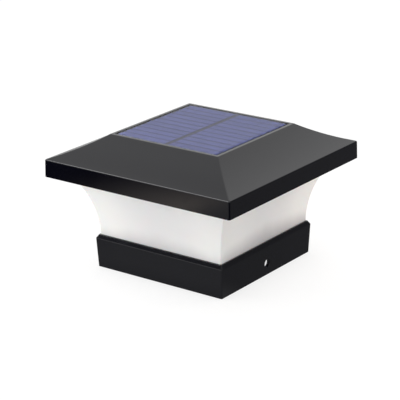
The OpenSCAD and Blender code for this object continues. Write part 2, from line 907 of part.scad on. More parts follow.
// Points round the wire at one place along the coil
function coil_ring(u, sides) =
    let (turn = 360 * spring_turns * u,
         r = (spring_d * (1 - u) + spring_tip_d * u) / 2,
         x = spring_wire_d / 4 + (spring_l - spring_wire_d * 0.8) * u)
    [for (k = [0:sides - 1])
        let (a = 360 * k / sides,
             out = r + spring_wire_d / 2 * cos(a))
        [x + spring_wire_d / 2 * sin(a), out * cos(turn), out * sin(turn)]];

module coil_wire(steps, sides)
{
    rings = [for (i = [0:steps]) coil_ring(i / steps, sides)];
    points = [for (ring = rings) each ring];
    last = steps * sides;
    sides_faces = [for (i = [0:steps - 1], k = [0:sides - 1], half = [0, 1])
        let (a = i * sides + k, b = i * sides + (k + 1) % sides)
        half == 0 ? [a, b, a + sides] : [b, b + sides, a + sides]];
    caps = [[for (k = [sides - 1:-1:0]) k], [for (k = [0:sides - 1]) last + k]];
    polyhedron(points = points, faces = concat(sides_faces, caps), convexity = 6);
}

module spring_contact()
    color([0.75, 0.75, 0.72])
    {
        block([bay_in_x0, contact_inset - bay_in_half, bay_z0 + contact_inset],
              [bay_in_x0 + contact_t, bay_in_half - contact_inset, bay_top_in - contact_inset]);
        translate([bay_in_x0 + contact_t, 0, cell_z])
            coil_wire(8 * spring_turns, 6);
    }

module plate_contact()
    color([0.75, 0.75, 0.72])
        block([bay_in_x1 - contact_t, contact_inset - bay_in_half, bay_z0 + contact_inset],
              [bay_in_x1, bay_in_half - contact_inset, bay_top_in - contact_inset]);

// Door of the cell bay: plate, hinge pins, finger tab and ribs under the cell
module battery_door()
{
    tab_y = bay_half + run_gap;
    rib_half = cell_r * 0.75;
    color([0.9, 0.9, 0.89])
        difference()
        {
            union()
            {
                block([-door_half_l, hinge_y, door_top - door_t],
                      [door_half_l, bay_half, door_top]);
                translate([0, hinge_y, hinge_z])
                    rotate([0, 90, 0])
                    {
                        cylinder(d = door_t, h = 2 * door_half_l, center = true,
                                 $fn = ROUND_FN);
                        cylinder(d = hinge_pin_d, h = 2 * (door_half_l + run_gap + hinge_pin_l),
                                 center = true, $fn = ROUND_FN);
                    }
                // Finger tab outside the wall of the bay
                block([-tab_w / 2, bay_half - CUT, door_top - door_t],
                      [tab_w / 2, tab_y + tab_t, door_top]);
                block([-tab_w / 2, tab_y, door_top - door_t],
                      [tab_w / 2, tab_y + tab_t, door_top + tab_h]);
                // Ribs that keep the cell up in its saddles
                difference()
                {
                    for (i = [-1, 0, 1])
                        translate([i * door_rib_at, 0, 0])
                            block([-saddle_t / 2, -rib_half, door_top - CUT],
                                  [saddle_t / 2, rib_half, cell_z - cell_r * 0.6]);
                    translate([0, 0, cell_z])
                        rotate([0, 90, 0])
                            cylinder(r = cell_r + saddle_gap, h = 2 * bay_x1, center = true,
                                     $fn = ROUND_FN);
                }
            }
            // Grooves for grip on the finger tab
            for (i = [0:2])
                translate([0, 0, door_top + i * tab_h / 3])
                    block([-tab_w / 2 - CUT, tab_y + tab_t - tab_groove_d, 0],
                          [tab_w / 2 + CUT, tab_y + tab_t + CUT, tab_groove_w]);
        }
}

// ---------- controller and switch ----------

module control_board()
    color([0.1, 0.4, 0.22])
        translate([0, ctrl_back, 0])
            difference()
            {
                block([-ctrl_l / 2, -ctrl_w / 2, ctrl_z], [ctrl_l / 2, ctrl_w / 2, ctrl_top]);
                for (sx = [-1, 1], sy = [-1, 1])
                    translate([sx * (ctrl_l / 2 - ctrl_inset), sy * (ctrl_w / 2 - ctrl_inset), 0])
                        rod(small_screw_d + 2 * hole_gap, ctrl_z - CUT, ctrl_top + CUT);
            }

// Small outline chip with its two rows of legs
module control_chip()
{
    stand_off = chip_h / 8;
    leg_pitch = chip_l / 4;
    color([0.12, 0.12, 0.12])
        translate([-part_pitch, ctrl_back, ctrl_top])
        {
            block([-chip_l / 2, -chip_w / 2, stand_off],
                  [chip_l / 2, chip_w / 2, stand_off + chip_h]);
            for (i = [-1.5:1:1.5], s = [-1, 1])
                translate([i * leg_pitch, s * (chip_w + chip_leg_l * 0.8) / 2, chip_h / 4])
                    cube([chip_leg_w, chip_leg_l, chip_h / 2], center = true);
        }
}

// Wound coil: ferrite bobbin with its winding between two cheeks
module coil()
    color([0.25, 0.2, 0.18])
        translate([0, ctrl_back, ctrl_top])
        {
            rod(coil_d, 0, coil_cheek_t);
            rod(coil_d - 2 * coil_sunk, coil_cheek_t / 2, coil_h - coil_cheek_t / 2);
            rod(coil_d, coil_h - coil_cheek_t, coil_h);
        }

module capacitor()
{
    r = capacitor_d / 2;
    groove_z = capacitor_h / 5;
    edge = capacitor_groove;
    color([0.15, 0.2, 0.4])
        translate([part_pitch, ctrl_back, ctrl_top])
            rotate_extrude($fn = ROUND_FN)
                polygon([[0, 0], [r - edge, 0], [r, edge], [r, groove_z - edge],
                         [r - capacitor_groove, groove_z], [r, groove_z + edge],
                         [r, capacitor_h - edge], [r - edge, capacitor_h], [0, capacitor_h]]);
}

// Sockets for the leads of the panel, the cell and the lights
module lead_sockets()
    color([0.92, 0.9, 0.85])
        for (i = [-1, 0, 1])
            translate([i * socket_pitch, ctrl_back + ctrl_w / 2 - socket_w * 0.8, ctrl_top])
                difference()
                {
                    block([-socket_l / 2, -socket_w / 2, 0],
                          [socket_l / 2, socket_w / 2, socket_h]);
                    block([socket_wall - socket_l / 2, socket_wall - socket_w / 2, socket_wall],
                          [socket_l / 2 - socket_wall, socket_w / 2 - socket_wall,
                           socket_h + CUT]);
                }

module control_screws()
    color("silver")
        translate([0, ctrl_back, 0])
            for (sx = [-1, 1], sy = [-1, 1])
                translate([sx * (ctrl_l / 2 - ctrl_inset), sy * (ctrl_w / 2 - ctrl_inset), 0])
                    screw_down(small_screw_d, small_head_d, small_head_h, ctrl_top,
                               board_t + small_grip);

// Switch housing on top of the tray, with the slot that its knob runs in
module switch_body()
{
    leg_w = switch_leg_pitch / 5;
    leg_d = switch_w / 5;
    color([0.7, 0.7, 0.7])
        translate([0, -switch_at, 0])
            difference()
            {
                union()
                {
                    block([-switch_l / 2, -switch_w / 2, tray_top],
                          [switch_l / 2, switch_w / 2, tray_top + switch_h]);
                    for (i = [-1, 0, 1])
                        translate([i * switch_leg_pitch, 0, tray_top + switch_h - CUT])
                            block([-leg_w / 2, -leg_d / 2, 0],
                                  [leg_w / 2, leg_d / 2, switch_leg_l + CUT]);
                }
                block([-slot_l / 2, -knob_w / 2 - run_gap, tray_top - CUT],
                      [slot_l / 2, knob_w / 2 + run_gap, tray_top + knob_foot + run_gap]);
            }
}

// Knob, at the off end of its travel
module switch_knob()
    color([0.1, 0.1, 0.1])
        translate([-knob_travel / 2, -switch_at, 0])
            difference()
            {
                block([-knob_l / 2, -knob_w / 2, tray_z - knob_out],
                      [knob_l / 2, knob_w / 2, tray_top + knob_foot]);
                for (i = [-1, 0, 1])
                    translate([i * knob_l / 4, 0, tray_z - knob_out])
                        cube([knob_groove, knob_w + 2 * CUT, 2 * knob_groove], center = true);
            }

roof_shell();
panel_tape();
panel_board();
solar_cells();
panel_cover();
diffuser();
roof_gasket();
tray();
flange_screws();
led_board();
leds();
led_screws();
battery_box();
battery_box_screws();
battery_cell();
spring_contact();
plate_contact();
battery_door();
control_board();
control_chip();
coil();
capacitor();
lead_sockets();
control_screws();
switch_body();
switch_knob();
collar();
collar_screws();
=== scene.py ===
"""Looks of the deck post cap light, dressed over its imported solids.

Sizes are written in millimetres and become metres where a mesh is made.
+Z is up, and z = 0 is the lower edge of the collar.
"""

from math import cos, pi, radians, sin, sqrt, tan

import bmesh
import bpy
from mathutils import Matrix, Vector

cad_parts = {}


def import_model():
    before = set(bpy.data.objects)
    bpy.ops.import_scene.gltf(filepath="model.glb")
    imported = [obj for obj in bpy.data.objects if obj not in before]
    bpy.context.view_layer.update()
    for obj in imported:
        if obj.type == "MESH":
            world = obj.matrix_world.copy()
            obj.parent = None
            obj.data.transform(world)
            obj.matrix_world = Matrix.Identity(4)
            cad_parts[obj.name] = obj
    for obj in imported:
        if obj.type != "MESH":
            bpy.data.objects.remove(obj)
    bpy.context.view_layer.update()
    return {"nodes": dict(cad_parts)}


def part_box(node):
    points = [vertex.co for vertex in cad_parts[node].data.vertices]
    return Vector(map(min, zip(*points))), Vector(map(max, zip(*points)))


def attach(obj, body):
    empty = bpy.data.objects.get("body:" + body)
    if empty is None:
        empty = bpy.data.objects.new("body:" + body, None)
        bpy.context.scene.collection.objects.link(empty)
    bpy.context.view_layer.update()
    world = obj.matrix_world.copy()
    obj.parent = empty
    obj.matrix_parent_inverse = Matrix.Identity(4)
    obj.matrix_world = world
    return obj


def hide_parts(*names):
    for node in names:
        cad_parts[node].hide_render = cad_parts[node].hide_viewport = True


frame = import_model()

MM = 0.001

# --- camera, as the photograph was taken ---
PHOTO_SIDE = 400
AZIMUTH, ELEVATION, ROLL = 36.665, 19.486, -0.840
DISTANCE = 1091.17
AIM = (-9.78, 8.97, 36.84)
FOCAL_PIXELS = 1641.6
SENSOR = 36.0

# --- sizes ---
# Collar
COLLAR_HALF = 50.0
SHOULDER_HALF, SHOULDER_Z = 50.9, 20.0
LEDGE_HALF = 49.3
COLLAR_TOP = 22.4
PLATE_Z = 20.2
HOLLOW_LOW_HALF = 47.7
HOLLOW_TOP_HALF = 48.61
WINDOW_HALF = 36.0
COLLAR_CORNER = 0.9
POST_FIT_HALF = 45.2
GRIP_RIB = (1.6, 28.0, 1.5)  # thickness, distance from the middle, lower end
STOP_PAD_H = 2.8
POST_HOLE = (5.5, 8.0)  # diameter, height of its axis
CORNER_SCREW_AT = 42.7
# Diffuser
FOOT_HALF = 48.5
DIFFUSER_WALL = 1.8
FLARE_R = 74.0
FLANGE_Z, SEAL_Z = 66.3, 68.3
FLANGE_HALF = 70.13
THROAT_HALF = 60.71
DIFFUSER_CORNER = 0.7
WALL_STEPS = 36
CORNER_BLOCK = (9.0, 11.0)  # width, height
LOCATING_RIB = (1.6, 44.7, 25.0)  # thickness, inner face, top
# Roof
SKIRT_LOW_HALF, SKIRT_LOW_Z = 73.03, 64.1
SKIRT_TOP_HALF, SKIRT_TOP_Z = 72.73, 75.8
LIP_HALF, LIP_Z = 42.6, 90.4
RECESS_HALF, RECESS_Z = 40.4, 86.8
SLOPE_CENTRE, SLOPE_R = (112.97, 197.228), 127.922
ROOF_WALL = 2.2
HOLLOW_HALF, HOLLOW_TOP_Z = 70.53, 84.8
SKIRT_CORNER = 1.2
ROOF_RIB = (4.0, 1.6, 24.0)  # depth, thickness, pitch
BOSS = (3.5, 1.3, 76.3)  # radius, radius of its bore, top
BOSS_ROOF = 0.8
LEAD_HOLE_D = 5.0
# Solar panel
COVER_HALF = 40.25
COVER_RIM = ((0.0, 0.08), (0.06, 0.03), (0.2, 0.006), (0.6, 0.0))  # back, drop
CELLS_Z, COVER_Z, COVER_TOP = 89.2, 89.6, 90.2
FIELD_HALF = 38.8
STRIPS = 11
STRIP_PITCH = 7.1364
STRIP_L, STRIP_W, STRIP_T = 37.6, 6.236, 0.4
STRIP_AT = 20.0
DIVIDER_HALF = 1.6
FINGER_PITCH, FINGER_W = 2.0, 0.12
BUS_SHARE = 0.02  # half the printed line along a strip, as a share of the pitch
SECOND_COLUMN = 37.0  # added to a strip's number, which chooses its tone
CRYSTAL = 1 / 0.45  # across a grain
# Tray, lights, cell and controller
TRAY_TOP_Z = 71.5
LED_BOARD_Z = 67.7
LED_RING = (48.0, 20.0)  # distance of a light from the middle, and along its side
LED_SIZE = (2.8, 3.5, 0.8)
LENS = (2.1, 0.25)  # diameter, depth
FLANGE_SCREW_AT = 66.13
LUG_SCREW_AT, LUG_Z = 34.45, 66.9
CONTROL_SCREWS = (23.5, 11.5, 8.0, 76.1)  # half spread in X and Y, shift in Y, seat
CHIP = (8.0, 2.02)  # middle in Y, half width of its resin
COIL_WINDING = (77.1, 80.1, 0.4)  # lowest and highest turn, pitch
CAPACITOR = (12.0, 8.0, 81.7, 2.1)  # middle in X and Y, height and radius of its bare top
CELL_Z, CELL_R = 59.2, 7.1
CELL_X0, CELL_X1 = -23.15, 26.05
CELL_BUTTON = (2.7, 1.3)  # radius, length
CELL_BAND = 9.0
SPRING = (9.0, 5.6, 0.8, 3.0, -27.35, 4.2)  # foot, tip and wire diameters, turns, start, length
# Screws: shank diameter, head diameter, head height
BIG_SCREW = (3.0, 5.6, 1.9)
SMALL_SCREW = (2.0, 3.8, 1.3)
SCREW_TURN = 1.5  # how far a recess may be turned, in radians
# How far a rib or pad reaches into the wall that carries it
SUNK = 0.4


# --- node trees ---
def maths(operation, reflected=False):
    """An operator of Value, which adds a Math node."""
    def operator(value, *other):
        return value.tree.math(operation, *((*other, value) if reflected else (value, *other)))
    return operator


class Value:
    """An output socket. Arithmetic on it adds Math nodes to its tree."""

    def __init__(self, tree, socket):
        self.tree, self.socket = tree, socket

    def __getitem__(self, name):
        """Another output of its node."""
        return Value(self.tree, self.tree.socket_of(self.socket.node.outputs, name))

    __add__, __radd__ = maths("ADD"), maths("ADD", True)
    __sub__, __rsub__ = maths("SUBTRACT"), maths("SUBTRACT", True)
    __mul__, __rmul__ = maths("MULTIPLY"), maths("MULTIPLY", True)
    __truediv__, __rtruediv__ = maths("DIVIDE"), maths("DIVIDE", True)
    __mod__, __rmod__ = maths("FLOORED_MODULO"), maths("FLOORED_MODULO", True)
    __pow__, __rpow__ = maths("POWER"), maths("POWER", True)
    __gt__, __lt__, __abs__ = maths("GREATER_THAN"), maths("LESS_THAN"), maths("ABSOLUTE")


class Tree:
    """Builds the nodes of one material, of the world or of one geometry tree."""

    def __init__(self, nodes_of):
        self.data = nodes_of
        self.nodes, self.links = nodes_of.nodes, nodes_of.links

    def add(self, kind, sockets=None, **settings):
        """A new node's first output. Settings are set first, then sockets' values or links."""
        node = self.nodes.new(kind)
        for name, value in settings.items():
            setattr(node, name, value)
        for key, value in (sockets or {}).items():
            socket = self.socket_of(node.inputs, key)
            if isinstance(value, Value):
                self.links.new(value.socket, socket)
            elif socket.type == "RGBA":
                socket.default_value = (*value, 1.0)
            else:
                socket.default_value = value
        return Value(self, node.outputs[0]) if node.outputs else None

    @staticmethod
    def socket_of(sockets, key):
        """A socket by its identifier, or else by its name or its place."""
        found = [s for s in sockets if s.identifier == key]
        return found[0] if found else sockets[key]

    def math(self, operation, *values):
        sockets = dict(enumerate(values))
        return self.add("ShaderNodeMath", sockets, operation=operation)

    def vector_math(self, operation, sockets):
        return self.add("ShaderNodeVectorMath", sockets, operation=operation)

    def vector(self, **parts):
        return self.add("ShaderNodeCombineXYZ", parts)

    def axes(self, vector):
        parts = self.add("ShaderNodeSeparateXYZ", {"Vector": vector})
        return [parts[axis] for axis in "XYZ"]

    def coordinates(self, kind):
        return self.add("ShaderNodeTexCoord")[kind]

    def rise(self, value, low, high, kind="SMOOTHSTEP"):
        """0 at low and before, 1 at high and beyond."""
        sockets = {"Value": value, "From Min": low, "From Max": high}
        return self.add("ShaderNodeMapRange", sockets, interpolation_type=kind)

    def patch(self, place, level, limits):
        """The level where the place is past every limit, and 0 elsewhere."""
        for axis, low, high in limits:
            level = level * self.rise(place[axis], low, high)
        return level

    def rays(self):
        """Whether the camera or clear plastic looks here, and whether a glossy face does."""
        path = self.add("ShaderNodeLightPath")
        seen = self.math("MAXIMUM", path["Is Camera Ray"], path["Is Transmission Ray"])
        return seen, path["Is Glossy Ray"]

    def show(self, share, first, second):
        """Ends a material in a blend of two shaders."""
        mix = self.add("ShaderNodeMixShader", {"Fac": share, 1: first, 2: second})
        self.links.new(mix.socket, self.nodes["Material Output"].inputs["Surface"])


class Finish(Tree):
    """A material with one Principled shader, whose patterns are laid out in millimetres."""

    def __init__(self, name, **constants):
        self.material = bpy.data.materials.new(name)
        self.material.use_nodes = True
        super().__init__(self.material.node_tree)
        self.shader = self.nodes["Principled BSDF"]
        for socket, value in constants.items():
            self.shader.inputs[socket.replace("_", " ")].default_value = value
        self.place = self.vector_math("SCALE", {0: self.coordinates("Object"), "Scale": 1 / MM})
        self.x, self.y, self.z = self.axes(self.place)

    def noise(self, size, detail=2.0, roughness=0.5, stretch=(1, 1, 1)):
        """Soft noise from 0 to 1 whose blots are about that many millimetres across."""
        place = self.vector_math("MULTIPLY", {0: self.place, 1: stretch})
        sockets = {"Vector": place, "Scale": 1 / size, "Detail": detail, "Roughness": roughness}
        return self.add("ShaderNodeTexNoise", sockets)["Fac"]

    def cells(self, size, output="Distance"):
        """Grains about that many millimetres across."""
        sockets = {"Vector": self.place, "Scale": 1 / size}
        return self.add("ShaderNodeTexVoronoi", sockets)[output]

    def blend(self, share, first, second):
        sockets = {"Factor_Float": share, "A_Color": first, "B_Color": second}
        return self.add("ShaderNodeMix", sockets, data_type="RGBA")["Result_Color"]

    def radius(self, first, second):
        return self.math("SQRT", first * first + second * second)

    def bump(self, height, depth):
        """Bumps that reach that many millimetres."""
        return self.add("ShaderNodeBump", {"Height": height, "Distance": depth * MM})

    def feed(self, **values):
        """Links what changes over the surface to the shader's sockets."""
        for name, value in values.items():
            self.links.new(value.socket, self.shader.inputs[name.replace("_", " ")])
        return self.material

    def paint(self, colour, rough, height, depth, **values):
        """Feeds colour, roughness and bumps, and what else is given."""
        return self.feed(Base_Color=colour, Roughness=rough, Normal=self.bump(height, depth),
                         **values)


# --- finishes ---
def moulded_plastic(name, shade, pale, rough, grain=0.012, grain_size=0.35):
    """Injection-moulded plastic: fine grain from the tool, faint flow marks and handling marks."""
    f = Finish(name)
    fine = f.noise(grain_size, detail=3)
    flow = f.noise(22, stretch=(1, 1, 0.35))
    smear = f.rise(f.noise(9, detail=4, roughness=0.6), 0.52, 0.8)
    colour = f.blend(flow * 0.7 + fine * 0.3, shade, pale)
    gloss = rough - 0.03 + flow * 0.05 + smear * 0.05 + fine * 0.03
    return f.paint(colour, gloss, fine + smear * 0.2, grain)


def frosted_plastic():
    """Milky plastic with a fine frost. Its foot is painted grey as painted shade, deeper on two of
    its sides, and each wall is painted paler towards its corners as painted light.
    """
    f = Finish("frosted plastic", Subsurface_Weight=0.12, Subsurface_Scale=0.004, IOR=1.49)
    frost = f.noise(0.22)
    cloud = f.noise(16, stretch=(1, 1, 0.5))
    flow = f.noise(5, detail=3, stretch=(0.25, 0.25, 1))
    from_middle = f.math("MINIMUM", abs(f.x), abs(f.y))
    # Painted shade: the foot is greyed higher and darker on the +X and +Y sides.
    deeper_painted_shade = f.rise(f.x + f.y, -12.0, 12.0)
    above_foot = f.z + from_middle * 0.12 + cloud * 4.0 - deeper_painted_shade * 3.0
    # The painted foot shade fades out between these heights.
    lit = f.rise(above_foot, 21.0, 38.0)
    # Painted light: each wall is paler towards its corners; cloud and flow are the plastic's own
    # tone.
    pale = f.rise(from_middle, 4.0, 42.0) * 0.65 + cloud * 0.2 + flow * 0.15
    milk_and_painted_corner_light = f.blend(pale, (0.79, 0.79, 0.80), (0.93, 0.922, 0.905))
    painted_foot_shade = f.blend(deeper_painted_shade, (0.58, 0.57, 0.58), (0.48, 0.47, 0.48))
    colour = f.blend(lit, painted_foot_shade, milk_and_painted_corner_light)
    return f.paint(colour, 0.36 + frost * 0.08 + cloud * 0.06, frost + flow * 0.3, 0.01)


def solar_silicon():
    """Blue silicon strips: crystal grains, a fine comb of printed fingers and a tone per strip."""
    f = Finish("solar silicon", Specular_IOR_Level=0.05)
    row = (f.y + FIELD_HALF) / STRIP_PITCH
    strip = f.math("FLOOR", row) + (f.x > 0.0) * SECOND_COLUMN + 0.5
    tone = f.add("ShaderNodeTexWhiteNoise", {"W": strip}, noise_dimensions="1D")["Value"]
    crystal = f.add("ShaderNodeSeparateColor", {"Color": f.cells(CRYSTAL, "Color")})
    half = FINGER_PITCH / 2
    finger = abs(f.x % FINGER_PITCH - half) > half - FINGER_W / 2
    bus = abs(row % 1.0 - STRIP_W / STRIP_PITCH / 2) < BUS_SHARE
    printed = f.math("MAXIMUM", finger, bus)
    blue = f.blend(crystal * 0.55 + tone * 0.45, (0.052, 0.061, 0.165), (0.078, 0.090, 0.235))
    colour = f.blend(printed * 0.35, blue, (0.18, 0.19, 0.29))
    colour = f.blend(abs(f.x) < DIVIDER_HALF, colour, (0.010, 0.011, 0.030))
    return f.paint(colour, 0.34 - printed * 0.06 + crystal * 0.05, printed, 0.015)


def clear_sheet():
    """Clear cast resin over the strips. It mirrors at its face, and along two of its rims the
    mirror is weakened as painted shade in the reflection.
    """
    f = Finish("clear cover", Metallic=1.0, Roughness=0.08, Base_Color=(0.84, 0.85, 0.86, 1))
    dust = f.rise(f.noise(0.9, detail=1), 0.66, 0.76)
    f.feed(Normal=f.bump(f.noise(7), 0.03))
    facing = f.add("ShaderNodeLayerWeight", {"Blend": 0.5})["Facing"]
    inside = f.add("ShaderNodeNewGeometry")["Backfacing"]
    rim = FIELD_HALF + 0.8
    # Painted shade in the reflection: the mirror is weakened towards the +X rim, and less towards
    # the -X rim.
    rim_reflection_shade = f.rise(f.x, rim - 3.4, rim) * 0.85 + f.rise(f.x, 0.6 - rim, -rim) * 0.4
    mirror = (0.03 + 0.47 * facing ** 5.0) * (1.0 - inside) * (1.0 - rim_reflection_shade)
    resin = {"Color": (0.985, 0.987, 0.99)}
    straight = f.add("ShaderNodeBsdfTransparent", resin)
    bent = f.add("ShaderNodeBsdfRefraction", {**resin, "Roughness": 0.0, "IOR": 1.5})
    through = f.add("ShaderNodeMixShader", {"Fac": inside, 1: bent, 2: straight})
    f.show(mirror + dust * 0.02, through, Value(f, f.shader.outputs[0]))
    return f.material


def panel_backing():
    """Dark laminate with a faint glass weave, printed blue beyond the first and last strips."""
    f = Finish("panel backing")
    weave = f.math("SINE", f.x * 9.0) * f.math("SINE", f.y * 9.0) * 0.5 + 0.5
    blot = f.noise(6)
    colour = f.blend(weave * 0.4 + blot * 0.6, (0.008, 0.009, 0.022), (0.018, 0.020, 0.040))
    ends = (abs(f.y) > FIELD_HALF) * (abs(f.x) < FIELD_HALF)
    colour = f.blend(ends, colour, (0.060, 0.066, 0.13))
    return f.paint(colour, 0.42 + blot * 0.12, weave, 0.01)


def soft_sheet(name, shade, pale, pores):
    """Foam or rubber sheet with open pores."""
    f = Finish(name)
    pore = f.cells(pores)
    blot = f.noise(3, detail=3)
    colour = f.blend(pore * 0.8 + blot * 0.3, shade, pale)
    return f.paint(colour, 0.78 + blot * 0.12, pore, 0.06)


def plated_steel(name, tone, rough):
    """Zinc or nickel plated steel with fine drawing lines and a mottled plate."""
    f = Finish(name, Metallic=1.0)
    mottle = f.noise(0.9, detail=4)
    line = f.noise(0.08, detail=1, stretch=(1, 1, 0.1))
    darker = tuple(c * 0.78 for c in tone)
    colour = f.blend(mottle, darker, tone)
    return f.paint(colour, rough + mottle * 0.12, line * 0.6 + mottle * 0.4, 0.006)


def circuit_board(name, mask, track, pitch):
    """Solder mask over copper: tracks show as slightly lighter raised lines."""
    f = Finish(name, Coat_Weight=0.3, Coat_Roughness=0.15)
    wander = f.noise(7, detail=1) * 3.0
    along_x, along_y = (abs(way % pitch - pitch / 2) < pitch * 0.16
                        for way in (f.y + wander, f.x - wander))
    zone = f.noise(11, detail=0) > 0.5
    tracks = along_x * zone + along_y * (1 - zone)
    blot = f.noise(2.5, detail=3)
    colour = f.blend(tracks * 0.8 + blot * 0.15, mask, track)
    return f.paint(colour, 0.34 + blot * 0.1, tracks + blot * 0.1, 0.03)


def light_lens():
    """Pale yellow phosphor dome of a light."""
    f = Finish("light lens", Coat_Weight=0.5)
    grit = f.noise(0.12)
    colour = f.blend(grit, (0.74, 0.60, 0.16), (0.86, 0.74, 0.28))
    return f.paint(colour, 0.30 + grit * 0.1, grit, 0.01)


def cell_sleeve():
    """Shrunk sleeve over the cell, with bare plated steel at both ends and a pale band."""
    f = Finish("cell sleeve")
    flat_end = (f.x < CELL_X0 + 0.1) * (f.radius(f.y, f.z - CELL_Z) < CELL_R - 1.5)
    button_end = f.x > CELL_X1 - 0.35
    bare = f.math("MAXIMUM", flat_end, button_end)
    wrinkle = f.noise(1.6, detail=3, stretch=(0.3, 1, 1))
    tone = f.blend(wrinkle, (0.055, 0.22, 0.11), (0.075, 0.29, 0.15))
    sleeve = f.blend(f.x > CELL_X1 - CELL_BAND, tone, (0.75, 0.76, 0.74))
    colour = f.blend(bare, sleeve, (0.62, 0.61, 0.58))
    return f.paint(colour, 0.28 + wrinkle * 0.08, wrinkle, 0.03, Metallic=bare)


def chip_resin():
    """Black moulded resin body between tinned legs."""
    f = Finish("chip resin")
    middle, half = CHIP
    legs = abs(f.y - middle) > half
    grit = f.noise(0.15, detail=3)
    resin = f.blend(grit, (0.012, 0.012, 0.013), (0.03, 0.03, 0.032))
    colour = f.blend(legs, resin, (0.62, 0.62, 0.60))
    return f.paint(colour, 0.55 - legs * 0.25 + grit * 0.1, grit, 0.015, Metallic=legs)


def coil_winding():
    """Enamelled copper wire wound between two ferrite cheeks."""
    f = Finish("coil winding")
    low, high, pitch = COIL_WINDING
    wire = (f.z > low) * (f.z < high)
    turns = abs(f.z % pitch - pitch / 2) * (2 / pitch)
    grit = f.noise(0.4, detail=3)
    ferrite = f.blend(grit, (0.030, 0.028, 0.027), (0.06, 0.055, 0.052))
    # Painted shading: the copper is darker on each turn's crown and lighter towards the gaps
    # between turns.
    copper = f.blend(turns, (0.33, 0.10, 0.035), (0.50, 0.17, 0.06))
    return f.paint(f.blend(wire, ferrite, copper), 0.65 - wire * 0.35,
                   wire * (1 - turns) + grit * 0.3, 0.1, Metallic=wire * 0.9)


def capacitor_sleeve():
    """Dark sleeve with a pale stripe, and bare scored aluminium on top."""
    f = Finish("capacitor sleeve")
    x, y, top_z, top_r = CAPACITOR
    out_x, out_y = f.x - x, f.y - y
    top = (f.z > top_z) * (f.radius(out_x, out_y) < top_r)
    score = f.math("MINIMUM", abs(out_x), abs(out_y)) < 0.12
    stripe = (out_y < -1.6) * (1 - top)
    grit = f.noise(0.5, detail=3)
    sleeve = f.blend(grit, (0.012, 0.018, 0.06), (0.02, 0.03, 0.09))
    striped = f.blend(stripe, sleeve, (0.45, 0.47, 0.50))
    colour = f.blend(top, striped, (0.70, 0.70, 0.70))
    return f.paint(colour, 0.30 + grit * 0.08, 1 - top * score, 0.08, Metallic=top)


BLACK = moulded_plastic("black plastic", (0.0011, 0.0012, 0.0034), (0.0027, 0.0028, 0.0056),
                        0.11, grain=0.003, grain_size=0.3)
FROSTED = frosted_plastic()
WHITE = moulded_plastic("white plastic", (0.74, 0.74, 0.72), (0.82, 0.82, 0.80), 0.42)
SOCKET = moulded_plastic("socket plastic", (0.66, 0.63, 0.54), (0.74, 0.71, 0.62), 0.45)
KNOB = moulded_plastic("knob plastic", (0.012, 0.012, 0.013), (0.022, 0.022, 0.024), 0.40,
                       grain=0.03, grain_size=0.2)
HOUSING = moulded_plastic("light housing", (0.78, 0.78, 0.75), (0.85, 0.85, 0.82), 0.40,
                          grain_size=0.1)
SILICON = solar_silicon()
COVER = clear_sheet()
BACKING = panel_backing()
TAPE = soft_sheet("adhesive sheet", (0.012, 0.012, 0.012), (0.03, 0.03, 0.03), 0.5)
SEAL = soft_sheet("seal rubber", (0.018, 0.018, 0.019), (0.045, 0.045, 0.046), 0.8)
STEEL = plated_steel("screw steel", (0.60, 0.60, 0.59), 0.28)
CONTACT = plated_steel("contact metal", (0.70, 0.68, 0.62), 0.24)
SWITCH_METAL = plated_steel("switch metal", (0.56, 0.56, 0.55), 0.34)
WHITE_BOARD = circuit_board("white board", (0.72, 0.74, 0.72), (0.80, 0.82, 0.79), 3.2)
GREEN_BOARD = circuit_board("green board", (0.012, 0.10, 0.035), (0.03, 0.19, 0.07), 2.4)
LENS_PHOSPHOR = light_lens()
SLEEVE = cell_sleeve()
RESIN = chip_resin()
WINDING = coil_winding()
CAN = capacitor_sleeve()


# --- mesh work ---
def in_scene(name, data):
    obj = bpy.data.objects.new(name, data)
    bpy.context.scene.collection.objects.link(obj)
    return obj


def object_of(name, bm, *materials):
    """A new object from a bmesh whose points are in metres."""
    mesh = bpy.data.meshes.new(name)
    bm.to_mesh(mesh)
    bm.free()
    for material in materials:
        mesh.materials.append(material)
    return in_scene(name, mesh)


def shaped(name, bm, *materials):
    """A new object from a bmesh whose points are in millimetres, with its faces outwards."""
    bmesh.ops.recalc_face_normals(bm, faces=bm.faces[:])
    bmesh.ops.scale(bm, vec=(MM, MM, MM), verts=bm.verts[:])
    return object_of(name, bm, *materials)


def settled(obj):
    """Makes what the modifiers show the object's own mesh."""
    bpy.context.view_layer.update()
    graph = bpy.context.evaluated_depsgraph_get()
    mesh = bpy.data.meshes.new_from_object(obj.evaluated_get(graph), depsgraph=graph)
    mesh.name = obj.name
    obj.modifiers.clear()
    obj.data = mesh
    return obj


def smooth(obj, angle, weighted=True):
    """Smooth shading, with hard edges past that angle. Wide faces keep their own direction."""
    obj.data.shade_smooth()
    obj.data.set_sharp_from_angle(angle=radians(angle))
    if weighted:
        even = obj.modifiers.new("even faces", "WEIGHTED_NORMAL")
        even.keep_sharp = True
        even.weight = 100
    return obj


def placed(obj, slot, *nodes, body="light"):
    """Hands a finished piece to its body, and hides the solids it stands for."""
    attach(obj, body)
    if nodes:
        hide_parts(*nodes)


def rotated(bm, degrees, axis):
    turn = Matrix.Rotation(radians(degrees), 3, axis)
    bmesh.ops.rotate(bm, matrix=turn, verts=bm.verts[:])
    return bm


def shifted(bm, by):
    bmesh.ops.translate(bm, vec=by, verts=bm.verts[:])
    return bm


def corner_points(half, r, steps):
    """Points round a square with round corners, anticlockwise."""
    points = []
    for k, (sx, sy) in enumerate(((1, 1), (-1, 1), (-1, -1), (1, -1))):
        for i in range(steps + 1):
            a = radians(90 * (k + i / steps))
            points.append((sx * (half - r) + r * cos(a), sy * (half - r) + r * sin(a)))
    return points


